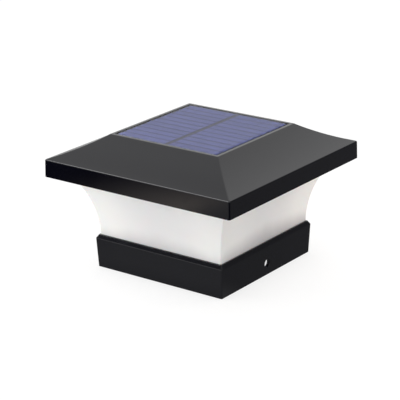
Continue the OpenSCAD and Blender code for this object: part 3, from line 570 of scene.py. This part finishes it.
def rounded_outline(corners, closed):
    """Rounds the corners of an outline. Each is (half width, height, radius, plan radius)."""
    out = []
    n, steps = len(corners), 4
    for i, (x, z, r, plan) in enumerate(corners):
        if r <= 0 or (not closed and i in (0, n - 1)):
            out.append((x, z, plan))
            continue
        here = Vector((x, z))
        before = (Vector(corners[i - 1][:2]) - here).normalized()
        after = (Vector(corners[(i + 1) % n][:2]) - here).normalized()
        spread = before.angle(after)
        reach = r / tan(spread / 2)
        centre = here + (before + after).normalized() * (r / sin(spread / 2))
        start, end = here + before * reach - centre, here + after * reach - centre
        turn = start.angle_signed(end)
        for k in range(steps + 1):
            p = centre + Matrix.Rotation(-turn * k / steps, 2) @ start
            out.append((p.x, p.y, plan))
    return out


def skinned(rings, closed):
    """A body that joins each ring of points to the next. A ring may be one point on the axis."""
    bm = bmesh.new()
    rings = [[bm.verts.new(point) for point in ring] for ring in rings]
    pairs = list(zip(rings, rings[1:]))
    if closed:
        pairs.append((rings[-1], rings[0]))
    elif len(rings[0]) > 1:
        bm.faces.new(rings[0])
        bm.faces.new(rings[-1])
    for low, high in pairs:
        count = max(len(low), len(high))
        for i in range(count):
            j = (i + 1) % count
            face = [low[i % len(low)], low[j % len(low)], high[j % len(high)], high[i % len(high)]]
            bm.faces.new(list(dict.fromkeys(face)))
    return bm


def square_body(outline, closed, steps):
    """Square rings with round corners, one for each point of an outline, as one body."""
    return skinned([[(px, py, z) for px, py in corner_points(x, plan, steps)]
                    for x, z, plan in outline], closed)


def turned(profile, sides):
    """A body turned about Z from (radius, height) points. It starts and ends on the axis."""
    angles = [2 * pi * i / sides for i in range(sides)]
    return skinned([[(r * cos(a), r * sin(a), z) for a in angles] if r > 0
                    else [(0, 0, z)] for r, z in profile], False)


def box_body(low, high, edge=0.0, steps=2):
    """A box between two corners with its edges rounded."""
    bm = bmesh.new()
    bmesh.ops.create_cube(bm, size=1.0)
    bmesh.ops.scale(bm, vec=Vector(high) - Vector(low), verts=bm.verts[:])
    shifted(bm, (Vector(high) + Vector(low)) / 2)
    if edge:
        bmesh.ops.bevel(bm, geom=bm.edges[:], offset=edge, segments=steps, profile=0.5,
                        affect="EDGES")
    return bm


def cut(obj, *cutters):
    """Takes the cutters' shapes out of an object."""
    for cutter in cutters:
        knife = obj.modifiers.new("cut", "BOOLEAN")
        knife.operation, knife.object, knife.solver = "DIFFERENCE", cutter, "EXACT"
    settled(obj)
    for cutter in cutters:
        bpy.data.objects.remove(cutter)


def joined(name, first, *others):
    """Adds the meshes of other objects to the first, as closed bodies side by side."""
    bm = bmesh.new()
    bm.from_mesh(first.data)
    for other in others:
        bm.from_mesh(other.data)
        bpy.data.objects.remove(other)
    bm.to_mesh(first.data)
    bm.free()
    first.name = first.data.name = name
    return first


def softened(node, name, slot, material, edge, body="light"):
    """A copy of a CAD node's shape with its edges eased, as they leave a mould or a mill."""
    bm = bmesh.new()
    bm.from_mesh(frame["nodes"][node].data)
    bmesh.ops.remove_doubles(bm, verts=bm.verts[:], dist=0.002 * MM)
    bmesh.ops.dissolve_limit(bm, angle_limit=radians(1), verts=bm.verts[:],
                             edges=bm.edges[:])
    obj = object_of(name, bm, material)
    ease = obj.modifiers.new("ease", "BEVEL")
    ease.width, ease.segments = edge * MM, 2
    ease.limit_method, ease.angle_limit = "ANGLE", radians(40)
    settled(obj)
    placed(smooth(obj, 50), slot, node, body=body)


# --- geometry trees ---
class Maker(Tree):
    """A geometry tree with named inputs. It ends in Realize Instances and Set Material."""

    KINDS = {float: "Float", int: "Int", tuple: "Vector"}

    def __init__(self, name, **inputs):
        super().__init__(bpy.data.node_groups.new(name, "GeometryNodeTree"))
        for label, kind in {"Geometry": "Geometry", **inputs, "Finish": "Material"}.items():
            self.socket(label.replace("_", " "), "INPUT", self.KINDS.get(kind, kind))
        self.socket("Geometry", "OUTPUT", "Geometry")
        self.given = self.add("NodeGroupInput")

    def socket(self, label, way, kind):
        self.data.interface.new_socket(label, in_out=way, socket_type="NodeSocket" + kind)

    def __getitem__(self, label):
        return self.given[label]

    def stored(self, name):
        """A number that the mesh keeps at each point."""
        return self.add("GeometryNodeInputNamedAttribute", {"Name": name}, data_type="FLOAT")

    def copies(self, count, place, turn):
        """Sets the piece on as many points, each turned about Z, and ends the tree."""
        points = self.add("GeometryNodePoints", {"Count": count, "Position": place})
        piece = self.add("GeometryNodeObjectInfo", {"Object": self["Piece"]})["Geometry"]
        return self.end("GeometryNodeInstanceOnPoints",
                        {"Points": points, "Instance": piece, "Rotation": self.vector(Z=turn)})

    def end(self, kind, sockets):
        """The last node that makes geometry, and what follows it."""
        real = self.add("GeometryNodeRealizeInstances", {"Geometry": self.add(kind, sockets)})
        dressed = self.add("GeometryNodeSetMaterial",
                           {"Geometry": real, "Material": self["Finish"]})
        self.add("NodeGroupOutput", {"Geometry": dressed})
        return self.data


def run_maker(obj, tree, **inputs):
    """Runs a geometry tree on an object and keeps the mesh that it gives."""
    modifier = obj.modifiers.new(tree.name, "NODES")
    modifier.node_group = tree
    for item in tree.interface.items_tree:
        key = item.name.replace(" ", "_")
        if item.in_out == "INPUT" and key in inputs:
            modifier[item.identifier] = inputs[key]
    return settled(obj)


def grid_maker():
    """Sets copies of one piece in columns and rows, each turned at random by up to Turn."""
    t = Maker("set in a grid", Piece="Object", Columns=int, Rows=int, Column_pitch=float,
              Row_pitch=float, Centre=tuple, Turn=float, Seed=int)
    columns, rows = t["Columns"], t["Rows"]
    index = t.add("GeometryNodeInputIndex")
    column = index % columns
    row = t.math("FLOOR", index / columns)
    from_centre = t.vector(X=(column - (columns - 1) / 2) * t["Column pitch"],
                           Y=(row - (rows - 1) / 2) * t["Row pitch"])
    place = t.vector_math("ADD", {0: from_centre, 1: t["Centre"]})
    chance = t.add("FunctionNodeRandomValue",
                   {"Min_001": 0.0, "Max_001": t["Turn"], "Seed": t["Seed"]},
                   data_type="FLOAT")
    return t.copies(columns * rows, place, chance["Value_001"])


def sides_maker():
    """Sets a row of copies on each of the four sides of a square."""
    t = Maker("set on four sides", Piece="Object", Count=int, Distance=float, Pitch=float,
              Height=float)
    count, out = t["Count"], t["Distance"]
    index = t.add("GeometryNodeInputIndex")
    along = (t.math("FLOOR", index / 4.0) - (count - 1) / 2) * t["Pitch"]
    angle = (index % 4.0) * (pi / 2)
    c, s = t.math("COSINE", angle), t.math("SINE", angle)
    place = t.vector(X=out * c - along * s, Y=out * s + along * c, Z=t["Height"])
    return t.copies(count * 4.0, place, angle)


def flare_maker():
    """Pushes the walls of a straight square sleeve out on an arc that starts upright."""
    t = Maker("flare on an arc", Flare_radius=float, Foot_height=float)
    x, y, z = t.axes(t.add("GeometryNodeInputPosition"))
    r = t["Flare radius"] + t.stored("depth")
    up = z - t["Foot height"]
    push = (r - t.math("SQRT", r * r - up * up)) * t.stored("follows")
    shift = t.vector(X=t.math("SIGN", x) * push, Y=t.math("SIGN", y) * push)
    return t.end("GeometryNodeSetPosition", {"Geometry": t["Geometry"], "Offset": shift})


def spring_maker():
    """Winds a wire into a coil that narrows towards its tip."""
    t = Maker("wind a coil", Turns=float, Foot_radius=float, Tip_radius=float, Length=float,
              Wire_radius=float)
    coil = t.add("GeometryNodeCurveSpiral",
                 {"Resolution": 28, "Rotations": t["Turns"],
                  "Start Radius": t["Foot radius"], "End Radius": t["Tip radius"],
                  "Height": t["Length"]})
    ring = t.add("GeometryNodeCurvePrimitiveCircle",
                 {"Resolution": 10, "Radius": t["Wire radius"]})
    return t.end("GeometryNodeCurveToMesh",
                 {"Curve": coil, "Profile Curve": ring, "Fill Caps": True})


GRID, SIDES, FLARE, COIL = grid_maker(), sides_maker(), flare_maker(), spring_maker()


def empty_base(name):
    """An object without faces, for a tree that brings its own."""
    return shaped(name, bmesh.new())


def set_out(name, piece, tree, **inputs):
    """Copies of a piece in its own finish, which take its place."""
    made = run_maker(empty_base(name), tree, Piece=piece, Finish=piece.data.materials[0],
                     **inputs)
    bpy.data.objects.remove(piece)
    return made


def set_in_grid(name, piece, columns, rows, pitch, centre, turn=0.0, seed=1):
    across, along = pitch
    return set_out(name, piece, GRID, Columns=columns, Rows=rows, Column_pitch=across * MM,
                   Row_pitch=along * MM, Centre=tuple(c * MM for c in centre), Turn=turn,
                   Seed=seed)


def set_on_sides(name, piece, count, distance, pitch, height=0):
    return set_out(name, piece, SIDES, Count=count, Distance=distance * MM, Pitch=pitch * MM,
                   Height=height * MM)


# --- roof ---
def slope_height(r, x):
    """Height at x of an arc round the slopes' centre."""
    return SLOPE_CENTRE[1] - sqrt(r * r - (SLOPE_CENTRE[0] - x) ** 2)


def slope_points(r, x0, x1, steps, plan0, plan1):
    """Points of a hollow slope from x0 to x1, ends left out, with the hips' radius."""
    points = []
    for i in range(1, steps):
        share = i / steps
        x = x0 + (x1 - x0) * share
        points.append((x, slope_height(r, x), 0, plan0 + (plan1 - plan0) * share))
    return points


def slope_rib(stretch=1.0, degrees=0):
    """A rib that runs out along the inside of a slope and down the inside of the skirt."""
    depth, thick, _ = ROOF_RIB
    inner_r, steps = SLOPE_R + ROOF_WALL, 12
    xs = [LIP_HALF + (HOLLOW_HALF - LIP_HALF) * i / steps for i in range(steps + 1)]
    outline = [(x, min(slope_height(inner_r - SUNK, x), HOLLOW_TOP_Z + SUNK)) for x in xs]
    outline += [(HOLLOW_HALF + SUNK, outline[-1][1]), (HOLLOW_HALF + SUNK, TRAY_TOP_Z),
                (HOLLOW_HALF - depth, TRAY_TOP_Z)]
    outline += [(x, min(slope_height(inner_r + depth, x), HOLLOW_TOP_Z - depth))
                for x in reversed(xs) if x < HOLLOW_HALF - depth]
    bm = skinned([[(x * stretch, y, z) for x, z in outline] for y in (-thick / 2, thick / 2)],
                 False)
    return shaped("rib", rotated(bm, degrees, "Z"), BLACK)


def roof_moulding():
    """Hipped hollow slopes and skirt, with the panel's recess, ribs, hip ribs and bosses."""
    inner_r = SLOPE_R + ROOF_WALL
    wall_top = slope_height(inner_r, HOLLOW_HALF)
    ceiling = SLOPE_CENTRE[0] - sqrt(inner_r ** 2 - (SLOPE_CENTRE[1] - HOLLOW_TOP_Z) ** 2)
    outline = [(RECESS_HALF, RECESS_Z, 0, 0.3), (RECESS_HALF, LIP_Z, 0.2, 0.4),
               (LIP_HALF, LIP_Z, 0.3, 0.5)]
    outline += slope_points(SLOPE_R, LIP_HALF, SKIRT_TOP_HALF, 22, 0.5, 0.9)
    outline += [(SKIRT_TOP_HALF, SKIRT_TOP_Z, 0.8, 1.0),
                (SKIRT_LOW_HALF, SKIRT_LOW_Z, 0.35, SKIRT_CORNER),
                (HOLLOW_HALF, SKIRT_LOW_Z, 0.3, 0.6), (HOLLOW_HALF, wall_top, 0.5, 0.6)]
    outline += slope_points(inner_r, HOLLOW_HALF, ceiling, 12, 0.6, 0.6)
    outline += [(ceiling, HOLLOW_TOP_Z, 0, 0.6)]
    roof = shaped("roof", square_body(rounded_outline(outline, False), False, 5), BLACK)
    r, low, high = LEAD_HOLE_D / 2, HOLLOW_TOP_Z - 1, RECESS_Z + 1
    cut(roof, shaped("drill", turned([(0, low), (r, low), (r, high), (0, high)], 48)))
    ribs = set_on_sides("ribs", slope_rib(), 3, 0, ROOF_RIB[2])
    hip_ribs = set_on_sides("hip_ribs", slope_rib(sqrt(2), 45), 1, 0, 0)
    r, bore, top = BOSS
    bore_top = top - BOSS_ROOF
    boss = shaped("boss", turned([(0, bore_top), (bore, bore_top), (bore, TRAY_TOP_Z),
                                  (r, TRAY_TOP_Z), (r, top), (0, top)], 40), BLACK)
    bosses = set_in_grid("bosses", boss, 2, 2, (2 * FLANGE_SCREW_AT,) * 2, (0, 0, 0))
    roof = joined("roof", roof, ribs, hip_ribs, bosses)
    placed(smooth(roof, 40), "black_plastic", "roof_shell")


# --- solar panel ---
def solar_panel():
    strip = shaped("strip", box_body((-STRIP_L / 2, -STRIP_W / 2, 0),
                                     (STRIP_L / 2, STRIP_W / 2, STRIP_T), 0.06, 1), SILICON)
    first_row = -FIELD_HALF + STRIP_W / 2
    last_row = first_row + (STRIPS - 1) * STRIP_PITCH
    strips = set_in_grid("strips", strip, 2, STRIPS, (2 * STRIP_AT, STRIP_PITCH),
                         (0, (first_row + last_row) / 2, CELLS_Z))
    placed(strips, "silicon", "solar_cells")
    outline = [(COVER_HALF, COVER_Z, 0, 0.6)]
    outline += [(COVER_HALF - back, COVER_TOP - drop, 0, 0.6) for back, drop in COVER_RIM]
    cover = shaped("cover_sheet", square_body(rounded_outline(outline, False), False, 6), COVER)
    placed(smooth(cover, 40), "clear_cover", "panel_cover")
    softened("panel_board", "backing_board", "panel_backing", BACKING, 0.1)


# --- diffuser ---
def diffuser_moulding():
    """A straight square sleeve with its flange, flared by its geometry tree."""
    rings = []  # half width, height, plan radius, depth in the wall, follows the flare
    edge = 0.2

    def wall(depth, z0, z1, plan):
        for i in range(WALL_STEPS + 1):
            z = z0 + (z1 - z0) * i / WALL_STEPS
            rings.append((FOOT_HALF - depth, z, plan, depth, 1.0))

    rings.append((FOOT_HALF - edge, COLLAR_TOP, DIFFUSER_CORNER, 0.0, 1.0))
    wall(0.0, COLLAR_TOP + edge, FLANGE_Z, DIFFUSER_CORNER)
    for back, z in ((edge, FLANGE_Z), (0, FLANGE_Z + edge), (0, SEAL_Z - edge), (edge, SEAL_Z)):
        rings.append((FLANGE_HALF - back, z, SKIRT_CORNER, 0.0, 0.0))
    rings.append((THROAT_HALF, SEAL_Z, 0.5, 0.0, 0.0))
    wall(DIFFUSER_WALL, FLANGE_Z, COLLAR_TOP, 0.5)
    bm = square_body([ring[:3] for ring in rings], True, 5)
    depth = bm.verts.layers.float.new("depth")
    follows = bm.verts.layers.float.new("follows")
    bm.verts.ensure_lookup_table()
    per_ring = len(bm.verts) // len(rings)
    for i, vert in enumerate(bm.verts):
        vert[depth] = rings[i // per_ring][3] * MM
        vert[follows] = rings[i // per_ring][4]
    shade = run_maker(shaped("diffuser_shade", bm), FLARE, Flare_radius=FLARE_R * MM,
                      Foot_height=COLLAR_TOP * MM, Finish=FROSTED)
    w, h = CORNER_BLOCK
    block = shaped("block", box_body((-w / 2, -w / 2, 0), (w / 2, w / 2, h), 0.5), FROSTED)
    blocks = set_in_grid("blocks", block, 2, 2, (2 * CORNER_SCREW_AT,) * 2, (0, 0, COLLAR_TOP))
    shade = joined("diffuser_shade", shade, blocks)
    placed(smooth(shade, 40), "frosted_plastic", "diffuser")


# --- collar ---
def collar_moulding():
    """Drafted square sleeve with a shoulder, its window plate, post holes, ribs and pads."""
    outline = [(COLLAR_HALF, 0, 0.3, COLLAR_CORNER),
               (SHOULDER_HALF, SHOULDER_Z, 0.7, COLLAR_CORNER),
               (LEDGE_HALF, COLLAR_TOP, 0.3, 0.6),
               (WINDOW_HALF, COLLAR_TOP, 0.3, 1.0), (WINDOW_HALF, PLATE_Z, 0.3, 1.0),
               (HOLLOW_TOP_HALF, PLATE_Z, 0.4, 0.6), (HOLLOW_LOW_HALF, 0, 0.3, 0.6)]
    collar = shaped("collar_moulding", square_body(rounded_outline(outline, True), True, 6),
                    BLACK)
    d, z = POST_HOLE
    r, edge, beyond = d / 2, 0.25, 2
    reach = COLLAR_HALF + 0.36  # the drafted wall's face at the height of the hole
    half = [(r, reach - edge), (r + beyond + edge, reach + beyond), (0, reach + beyond)]
    drill = turned([(x, -at) for x, at in reversed(half)] + half, 48)
    cut(collar, shaped("drill", shifted(rotated(drill, 90, "Y"), (0, 0, z))))
    t, at, low = GRIP_RIB
    top = PLATE_Z + SUNK
    grip = shaped("grip", box_body((0, -t / 2, low), (4.0, t / 2, top), 0.25), BLACK)
    grips = set_on_sides("grips", grip, 2, POST_FIT_HALF, 2 * at)
    pad = shaped("pad", box_body((WINDOW_HALF - POST_FIT_HALF, -t / 2, PLATE_Z - STOP_PAD_H),
                                 (0.5, t / 2, top), 0.25), BLACK)
    pads = set_on_sides("pads", pad, 2, POST_FIT_HALF, 2 * at)
    t, at, rib_top = LOCATING_RIB
    rib = shaped("rib", box_body((0, -WINDOW_HALF, top), (t, WINDOW_HALF, rib_top), 0.25), BLACK)
    ribs = set_on_sides("ribs", rib, 1, at, 0)
    collar = joined("collar_moulding", collar, grips, pads, ribs)
    placed(smooth(collar, 35), "black_plastic", "collar")


# --- screws ---
def screw(sizes, shank, up):
    """A pan head screw with a cross recess and rolled thread, its seat at z = 0."""
    d, head_d, head_h = sizes
    r, dome = head_d / 2, head_h * 0.55
    root = d / 2 - d * 0.12
    turns = int(shank / (d * 0.4))
    step = shank * 0.84 / turns
    profile = [(0, -head_h), ((r - dome) * 0.6, -head_h)]
    for i in range(1, 7):
        a = radians(90 * i / 6)
        profile.append((r - dome + dome * sin(a), -head_h + dome - dome * cos(a)))
    profile += [(r, -0.12 * head_h), (r - 0.12 * head_h, 0), (d / 2, 0)]
    for k in range(turns):
        z0 = shank * (0.08 + 0.84 * k / turns)
        profile += [(root, z0 + step * 0.2), (root, z0 + step * 0.45), (d / 2, z0 + step * 0.75)]
    profile += [(root, shank * 0.94), (0, shank)]
    body = shaped("screw", turned(profile, 28), STEEL)
    long, wide = head_d * 0.3, head_d * 0.065
    cut(body, *[shaped("bar", rotated(box_body((-long, -wide, -head_h - 1),
                                               (long, wide, -head_h * 0.42)), degrees, "Z"))
                for degrees in (0, 90)])
    if not up:
        body.data.transform(Matrix.Rotation(pi, 4, "X"))
    return body


# Name, solid, sizes, shank, whether it points up, half spread in X and Y, shift in Y, seat, seed
SCREW_SETS = (
    ("flange_screw_set", "flange_screws", BIG_SCREW, 10.2, True,
     FLANGE_SCREW_AT, FLANGE_SCREW_AT, 0, FLANGE_Z, 3),
    ("collar_screw_set", "collar_screws", BIG_SCREW, 7.2, True,
     CORNER_SCREW_AT, CORNER_SCREW_AT, 0, PLATE_Z, 5),
    ("led_screw_set", "led_screws", SMALL_SCREW, 5.2, True,
     LED_RING[0], LED_RING[0], 0, LED_BOARD_Z, 7),
    ("bay_screw_set", "battery_box_screws", BIG_SCREW, 7.4, True,
     LUG_SCREW_AT, 0, 0, LUG_Z, 9),
    ("control_screw_set", "control_screws", SMALL_SCREW, 5.2, False, *CONTROL_SCREWS, 11),
)


def screws():
    for name, node, sizes, shank, up, x, y, shift, seat, seed in SCREW_SETS:
        made = set_in_grid(name, screw(sizes, shank, up), 2, 2 if y else 1, (2 * x, 2 * y),
                           (0, shift, seat), SCREW_TURN, seed)
        placed(smooth(made, 32, weighted=False), "screw_steel", node)


# --- lights ---
def lights():
    """Housings with a dished pit, and the phosphor domes in them."""
    x, y, h = LED_SIZE
    d, sunk = LENS
    r, out, spread = d / 2, LED_RING[0], 2 * LED_RING[1]
    case = shaped("case", box_body((-x / 2, -y / 2, -h), (x / 2, y / 2, 0), 0.08), HOUSING)
    cut(case, shaped("pit", turned([(0, -h - 1), (r + sunk * 0.6, -h - 1), (r + 0.05, -h),
                                    (r - 0.15, -h + sunk), (0, -h + sunk)], 32)))
    cases = set_on_sides("light_cases", case, 2, out, spread, LED_BOARD_Z)
    placed(smooth(cases, 35, weighted=False), "led_housing", "leds")
    dome = turned([(0, -h + 0.06), (d * 0.25, -h + 0.075), (d * 0.42, -h + 0.13),
                   (r - 0.14, -h + sunk * 0.9), (r - 0.2, -h + sunk + 0.1),
                   (0, -h + sunk + 0.1)], 32)
    domes = set_on_sides("light_lenses", shaped("dome", dome, LENS_PHOSPHOR), 2, out, spread,
                         LED_BOARD_Z)
    placed(smooth(domes, 35, weighted=False), "led_housing")


# --- cell bay ---
def spring():
    """The coil that presses on the cell's flat end, on its foot plate."""
    foot, tip, wire, turns, start, length = SPRING
    coil = run_maker(empty_base("spring"), COIL, Turns=turns, Foot_radius=foot / 2 * MM,
                     Tip_radius=tip / 2 * MM, Length=(length - wire) * MM,
                     Wire_radius=wire / 2 * MM, Finish=CONTACT)
    coil.data.transform(Matrix.Translation(((start + wire / 2) * MM, 0, CELL_Z * MM))
                        @ Matrix.Rotation(radians(90), 4, "Y"))
    low, high = (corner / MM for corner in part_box("spring_contact"))
    plate = shaped("plate", box_body(low, (start, high.y, high.z), 0.12), CONTACT)
    coil = joined("spring", coil, plate)
    placed(smooth(coil, 40, weighted=False), "contact_metal", "spring_contact")


def cell():
    """The cell: sleeve folded over its shoulders, and a plated button."""
    length, r, fold = CELL_X1 - CELL_X0, CELL_R, 0.7
    button_r, button_l = CELL_BUTTON
    tip, well = length + button_l, length - 0.3
    bend = [radians(18 * i) for i in range(6)]
    profile = [(0, 0.15), (r - 1.6, 0.15), (r - 1.5, 0.0)]
    profile += [(r - fold + fold * sin(a), fold - fold * cos(a)) for a in bend]
    profile += [(r - fold + fold * cos(a), length - fold + fold * sin(a)) for a in bend]
    profile += [(r - 1.4, length), (r - 1.5, well), (button_r + 0.5, well), (button_r, length),
                (button_r, tip - 0.3), (button_r - 0.3, tip), (0, tip)]
    bm = shifted(rotated(turned(profile, 56), 90, "Y"), (CELL_X0, 0, CELL_Z))
    placed(smooth(shaped("cell", bm, SLEEVE), 35), "cell_sleeve", "battery_cell")


# Plain moulded and milled pieces: solid, name, slot, finish, width of an eased edge
PLAIN_PIECES = (
    ("tray", "tray_moulding", "white_plastic", WHITE, 0.25),
    ("battery_box", "cell_bay", "white_plastic", WHITE, 0.25),
    ("battery_door", "cell_door", "white_plastic", WHITE, 0.18),
    ("led_board", "ring_board", "white_board", WHITE_BOARD, 0.1),
    ("control_board", "controller_board", "green_board", GREEN_BOARD, 0.1),
    ("control_chip", "chip", "chip_resin", RESIN, 0.06),
    ("lead_sockets", "sockets", "socket_plastic", SOCKET, 0.12),
    ("switch_body", "switch_case", "switch_metal", SWITCH_METAL, 0.15),
    ("switch_knob", "knob", "knob_plastic", KNOB, 0.15),
    ("plate_contact", "button_contact", "contact_metal", CONTACT, 0.1),
    ("roof_gasket", "seal", "seal_rubber", SEAL, 0.15),
    ("coil", "wound_coil", "coil_ferrite", WINDING, 0.1),
    ("capacitor", "capacitor_can", "capacitor_sleeve", CAN, 0.1),
    ("panel_tape", "tape", "adhesive_sheet", TAPE, 0.1),
)


def plain_pieces():
    """The solids' own shapes with their edges eased. Two of them have a body of their own."""
    for node, name, slot, material, edge in PLAIN_PIECES:
        moves = node in ("battery_door", "switch_knob")
        softened(node, name, slot, material, edge, node if moves else "light")


roof_moulding()
solar_panel()
diffuser_moulding()
collar_moulding()
screws()
lights()
spring()
cell()
plain_pieces()


# --- stage ---
# Each part of the studio that shows in glossy faces is a level and its limits. A limit is an
# axis, X, Y or Z as 0, 1 or 2, with the values between which the part fades in.
# For the room they are the parts of a direction, and for the floor they are in metres.
GLOSS_SKY, GLOSS_LEFT, GLOSS_FLOOR = 0.15, 0.92, 0.15
LEFT_WALL = ((0, 0.30, 0.08), (2, -0.05, 0.10), (1, -0.60, -0.42))
LEFT_FRONT = 2.0, ((1, 0.02, -0.20), (2, 0.3, 0.5))
LEFT_CORNER = -0.28, ((0, -0.30, -0.55), (1, 0.05, 0.38), (1, 0.78, 0.50))
LOW_WINDOW = 1.8, ((1, -0.55, -0.68), (2, -0.05, 0.02), (2, 0.45, 0.32), (0, -0.10, -0.35))
RIGHT_WALL = 0.6, ((0, 0.36, 0.52), (1, 0.60, 0.30), (2, -0.05, 0.10))
REAR_WALL = 0.8, ((1, -0.60, -0.72), (0, -0.35, -0.15), (2, 0.30, 0.45))
TUBE_LAMP = 6.0, ((1, -0.12, -0.26), (1, -0.54, -0.44), (2, 0.55, 0.65), (0, -0.46, -0.50),
                  (0, -0.68, -0.63))
FLOOR_FRONT = 0.21, ((1, -0.02, -0.07), (0, 0.16, 0.08))
FLOOR_BEHIND = 0.85, ((1, 0.10, 0.40), (0, -0.05, -0.30))
FLOOR_LEFT_END = ((0, -0.19, -0.04),)
FLOOR_CORNER = ((0, 0.05, 0.12), (1, -0.08, -0.14))
# The plain levels, which light the object and show to the camera
AMBIENT, LEAN = 0.95, 0.32  # of the room, and how much darker its right side is
FLOOR_HALF = 4000
FLOOR_COLOUR = (0.45, 0.15)  # and how much less of it the camera sees
FLOOR_GLOW = (0.35, 1.5, 0.74)  # all over, more inside the collar, and as the camera sees it
# A card at the front left: left end, brightest place and right end, then the same in Y
CARD = (-211, -86, -55, -330, -240, -100)
CARD_GLOW, CARD_TINT = 1.05, (1.0, 0.89, 0.80)
# Lamps: name, place, width, power, aim, colour, in metres and watts
LAMPS = (
    ("left lamp", (-0.30, -0.30, 0.12), 0.22, 0.50, (0, 0, 0.045), (1.0, 0.97, 0.94)),
    ("right lamp", (0.17, 0.16, 0.08), 0.10, 0.11, (0.05, 0.05, 0.045), (1.0, 0.86, 0.74)),
)


def sheet(name, x0, x1, y0, y1, z, material):
    """One level face of the stage."""
    bm = bmesh.new()
    corners = ((x0, y0), (x1, y0), (x1, y1), (x0, y1))
    bm.faces.new([bm.verts.new((x, y, z)) for x, y in corners])
    return shaped(name, bm, material)


def stage_material(name):
    """A material whose nodes are all made here, and its tree."""
    material = bpy.data.materials.new(name)
    material.use_nodes = True
    tree = Tree(material.node_tree)
    tree.nodes.remove(tree.nodes["Principled BSDF"])
    return material, tree


def floor():
    """A pale floor, white to the camera where nothing shades it, and clear from below."""
    material, t = stage_material("pale floor")
    seen, gloss = t.rays()
    place = t.axes(t.coordinates("Object"))
    x, y, _ = place
    tone = GLOSS_FLOOR + t.patch(place, *FLOOR_FRONT)
    tone = t.patch(place, tone, FLOOR_LEFT_END) * (1.0 - t.patch(place, 1.0, FLOOR_CORNER))
    tone = tone + t.patch(place, *FLOOR_BEHIND)
    colour, less = FLOOR_COLOUR
    matt = t.add("ShaderNodeBsdfDiffuse", {"Color": colour - seen * less - gloss * colour})
    base, more, white = FLOOR_GLOW
    under = t.math("MAXIMUM", abs(x), abs(y)) < HOLLOW_LOW_HALF * MM
    lit = base + under * more
    glow = t.add("ShaderNodeEmission",
                 {"Strength": lit + seen * (white - lit) + gloss * (tone - lit)})
    both = t.add("ShaderNodeAddShader", {0: matt, 1: glow})
    below = t.add("ShaderNodeNewGeometry")["Backfacing"]
    t.show(below, both, t.add("ShaderNodeBsdfTransparent"))
    sheet("floor", -FLOOR_HALF, FLOOR_HALF, -FLOOR_HALF, FLOOR_HALF, -0.1, material)


def reflector():
    """A white card on the table at the front left, that shows only in glossy faces."""
    material, t = stage_material("white card")
    x0, x1, x2, y0, y1, y2 = (c * MM for c in CARD)
    x, y, _ = t.axes(t.coordinates("Object"))
    fade = t.rise(x, x0, x1, "LINEAR") ** 2.0 * t.rise(x, x2, x1)
    fade = fade * t.rise(y, y0, y1) * t.rise(y, y2, y1 + 0.3 * (y2 - y1))
    glow = t.add("ShaderNodeEmission", {"Color": CARD_TINT, "Strength": CARD_GLOW})
    t.show(fade, t.add("ShaderNodeBsdfTransparent"), glow)
    left, _, right, low, _, high = CARD
    card = sheet("card", left, right, low, high, 1, material)
    card.visible_camera = card.visible_diffuse = card.visible_shadow = False
    card.visible_transmission = False


def world():
    """A white room, with the darker and brighter parts that glossy faces see."""
    studio = bpy.data.worlds.new("studio")
    bpy.context.scene.world = studio
    studio.use_nodes = True
    t = Tree(studio.node_tree)
    seen, gloss = t.rays()
    way = t.axes(t.coordinates("Generated"))
    left = GLOSS_LEFT + t.patch(way, *LEFT_FRONT) + t.patch(way, *LEFT_CORNER)
    mirrored = GLOSS_SKY + t.patch(way, left, LEFT_WALL)
    for part in (LOW_WINDOW, RIGHT_WALL, REAR_WALL, TUBE_LAMP):
        mirrored = mirrored + t.patch(way, *part)
    room = AMBIENT * (1.0 - way[0] * LEAN)
    strength = room + seen * (1.0 - room) + gloss * (mirrored - room)
    background = t.nodes["Background"].inputs
    background["Color"].default_value = (1.0, 1.0, 1.0, 1.0)
    t.links.new(strength.socket, background["Strength"])


def lamps():
    """Soft square lamps that don't show in glossy faces."""
    for name, place, width, power, aim, colour in LAMPS:
        data = bpy.data.lights.new(name, "AREA")
        data.shape, data.size = "SQUARE", width
        data.energy, data.color = power, colour
        lamp = in_scene(name, data)
        lamp.location = place
        lamp.rotation_euler = (Vector(aim) - Vector(place)).to_track_quat("-Z", "Y").to_euler()
        lamp.visible_glossy = False


def camera():
    az, el, roll = (radians(a) for a in (AZIMUTH, ELEVATION, ROLL))
    back = Vector((sin(az) * cos(el), -cos(az) * cos(el), sin(el)))
    right = Vector((cos(az), sin(az), 0))
    up = back.cross(right)
    across = right * cos(roll) + up * sin(roll)
    upright = up * cos(roll) - right * sin(roll)
    data = bpy.data.cameras.new("camera")
    data.sensor_width = SENSOR
    data.lens = FOCAL_PIXELS / PHOTO_SIDE * SENSOR
    data.clip_start, data.clip_end = 0.05, 20.0
    eye = in_scene("camera", data)
    turn = Matrix((across, upright, back)).transposed()
    eye.matrix_world = Matrix.Translation((Vector(AIM) + back * DISTANCE) * MM) @ turn.to_4x4()
    bpy.context.scene.camera = eye


floor()
reflector()
world()
lamps()
camera()
bpy.context.scene.view_settings.view_transform = "Standard"
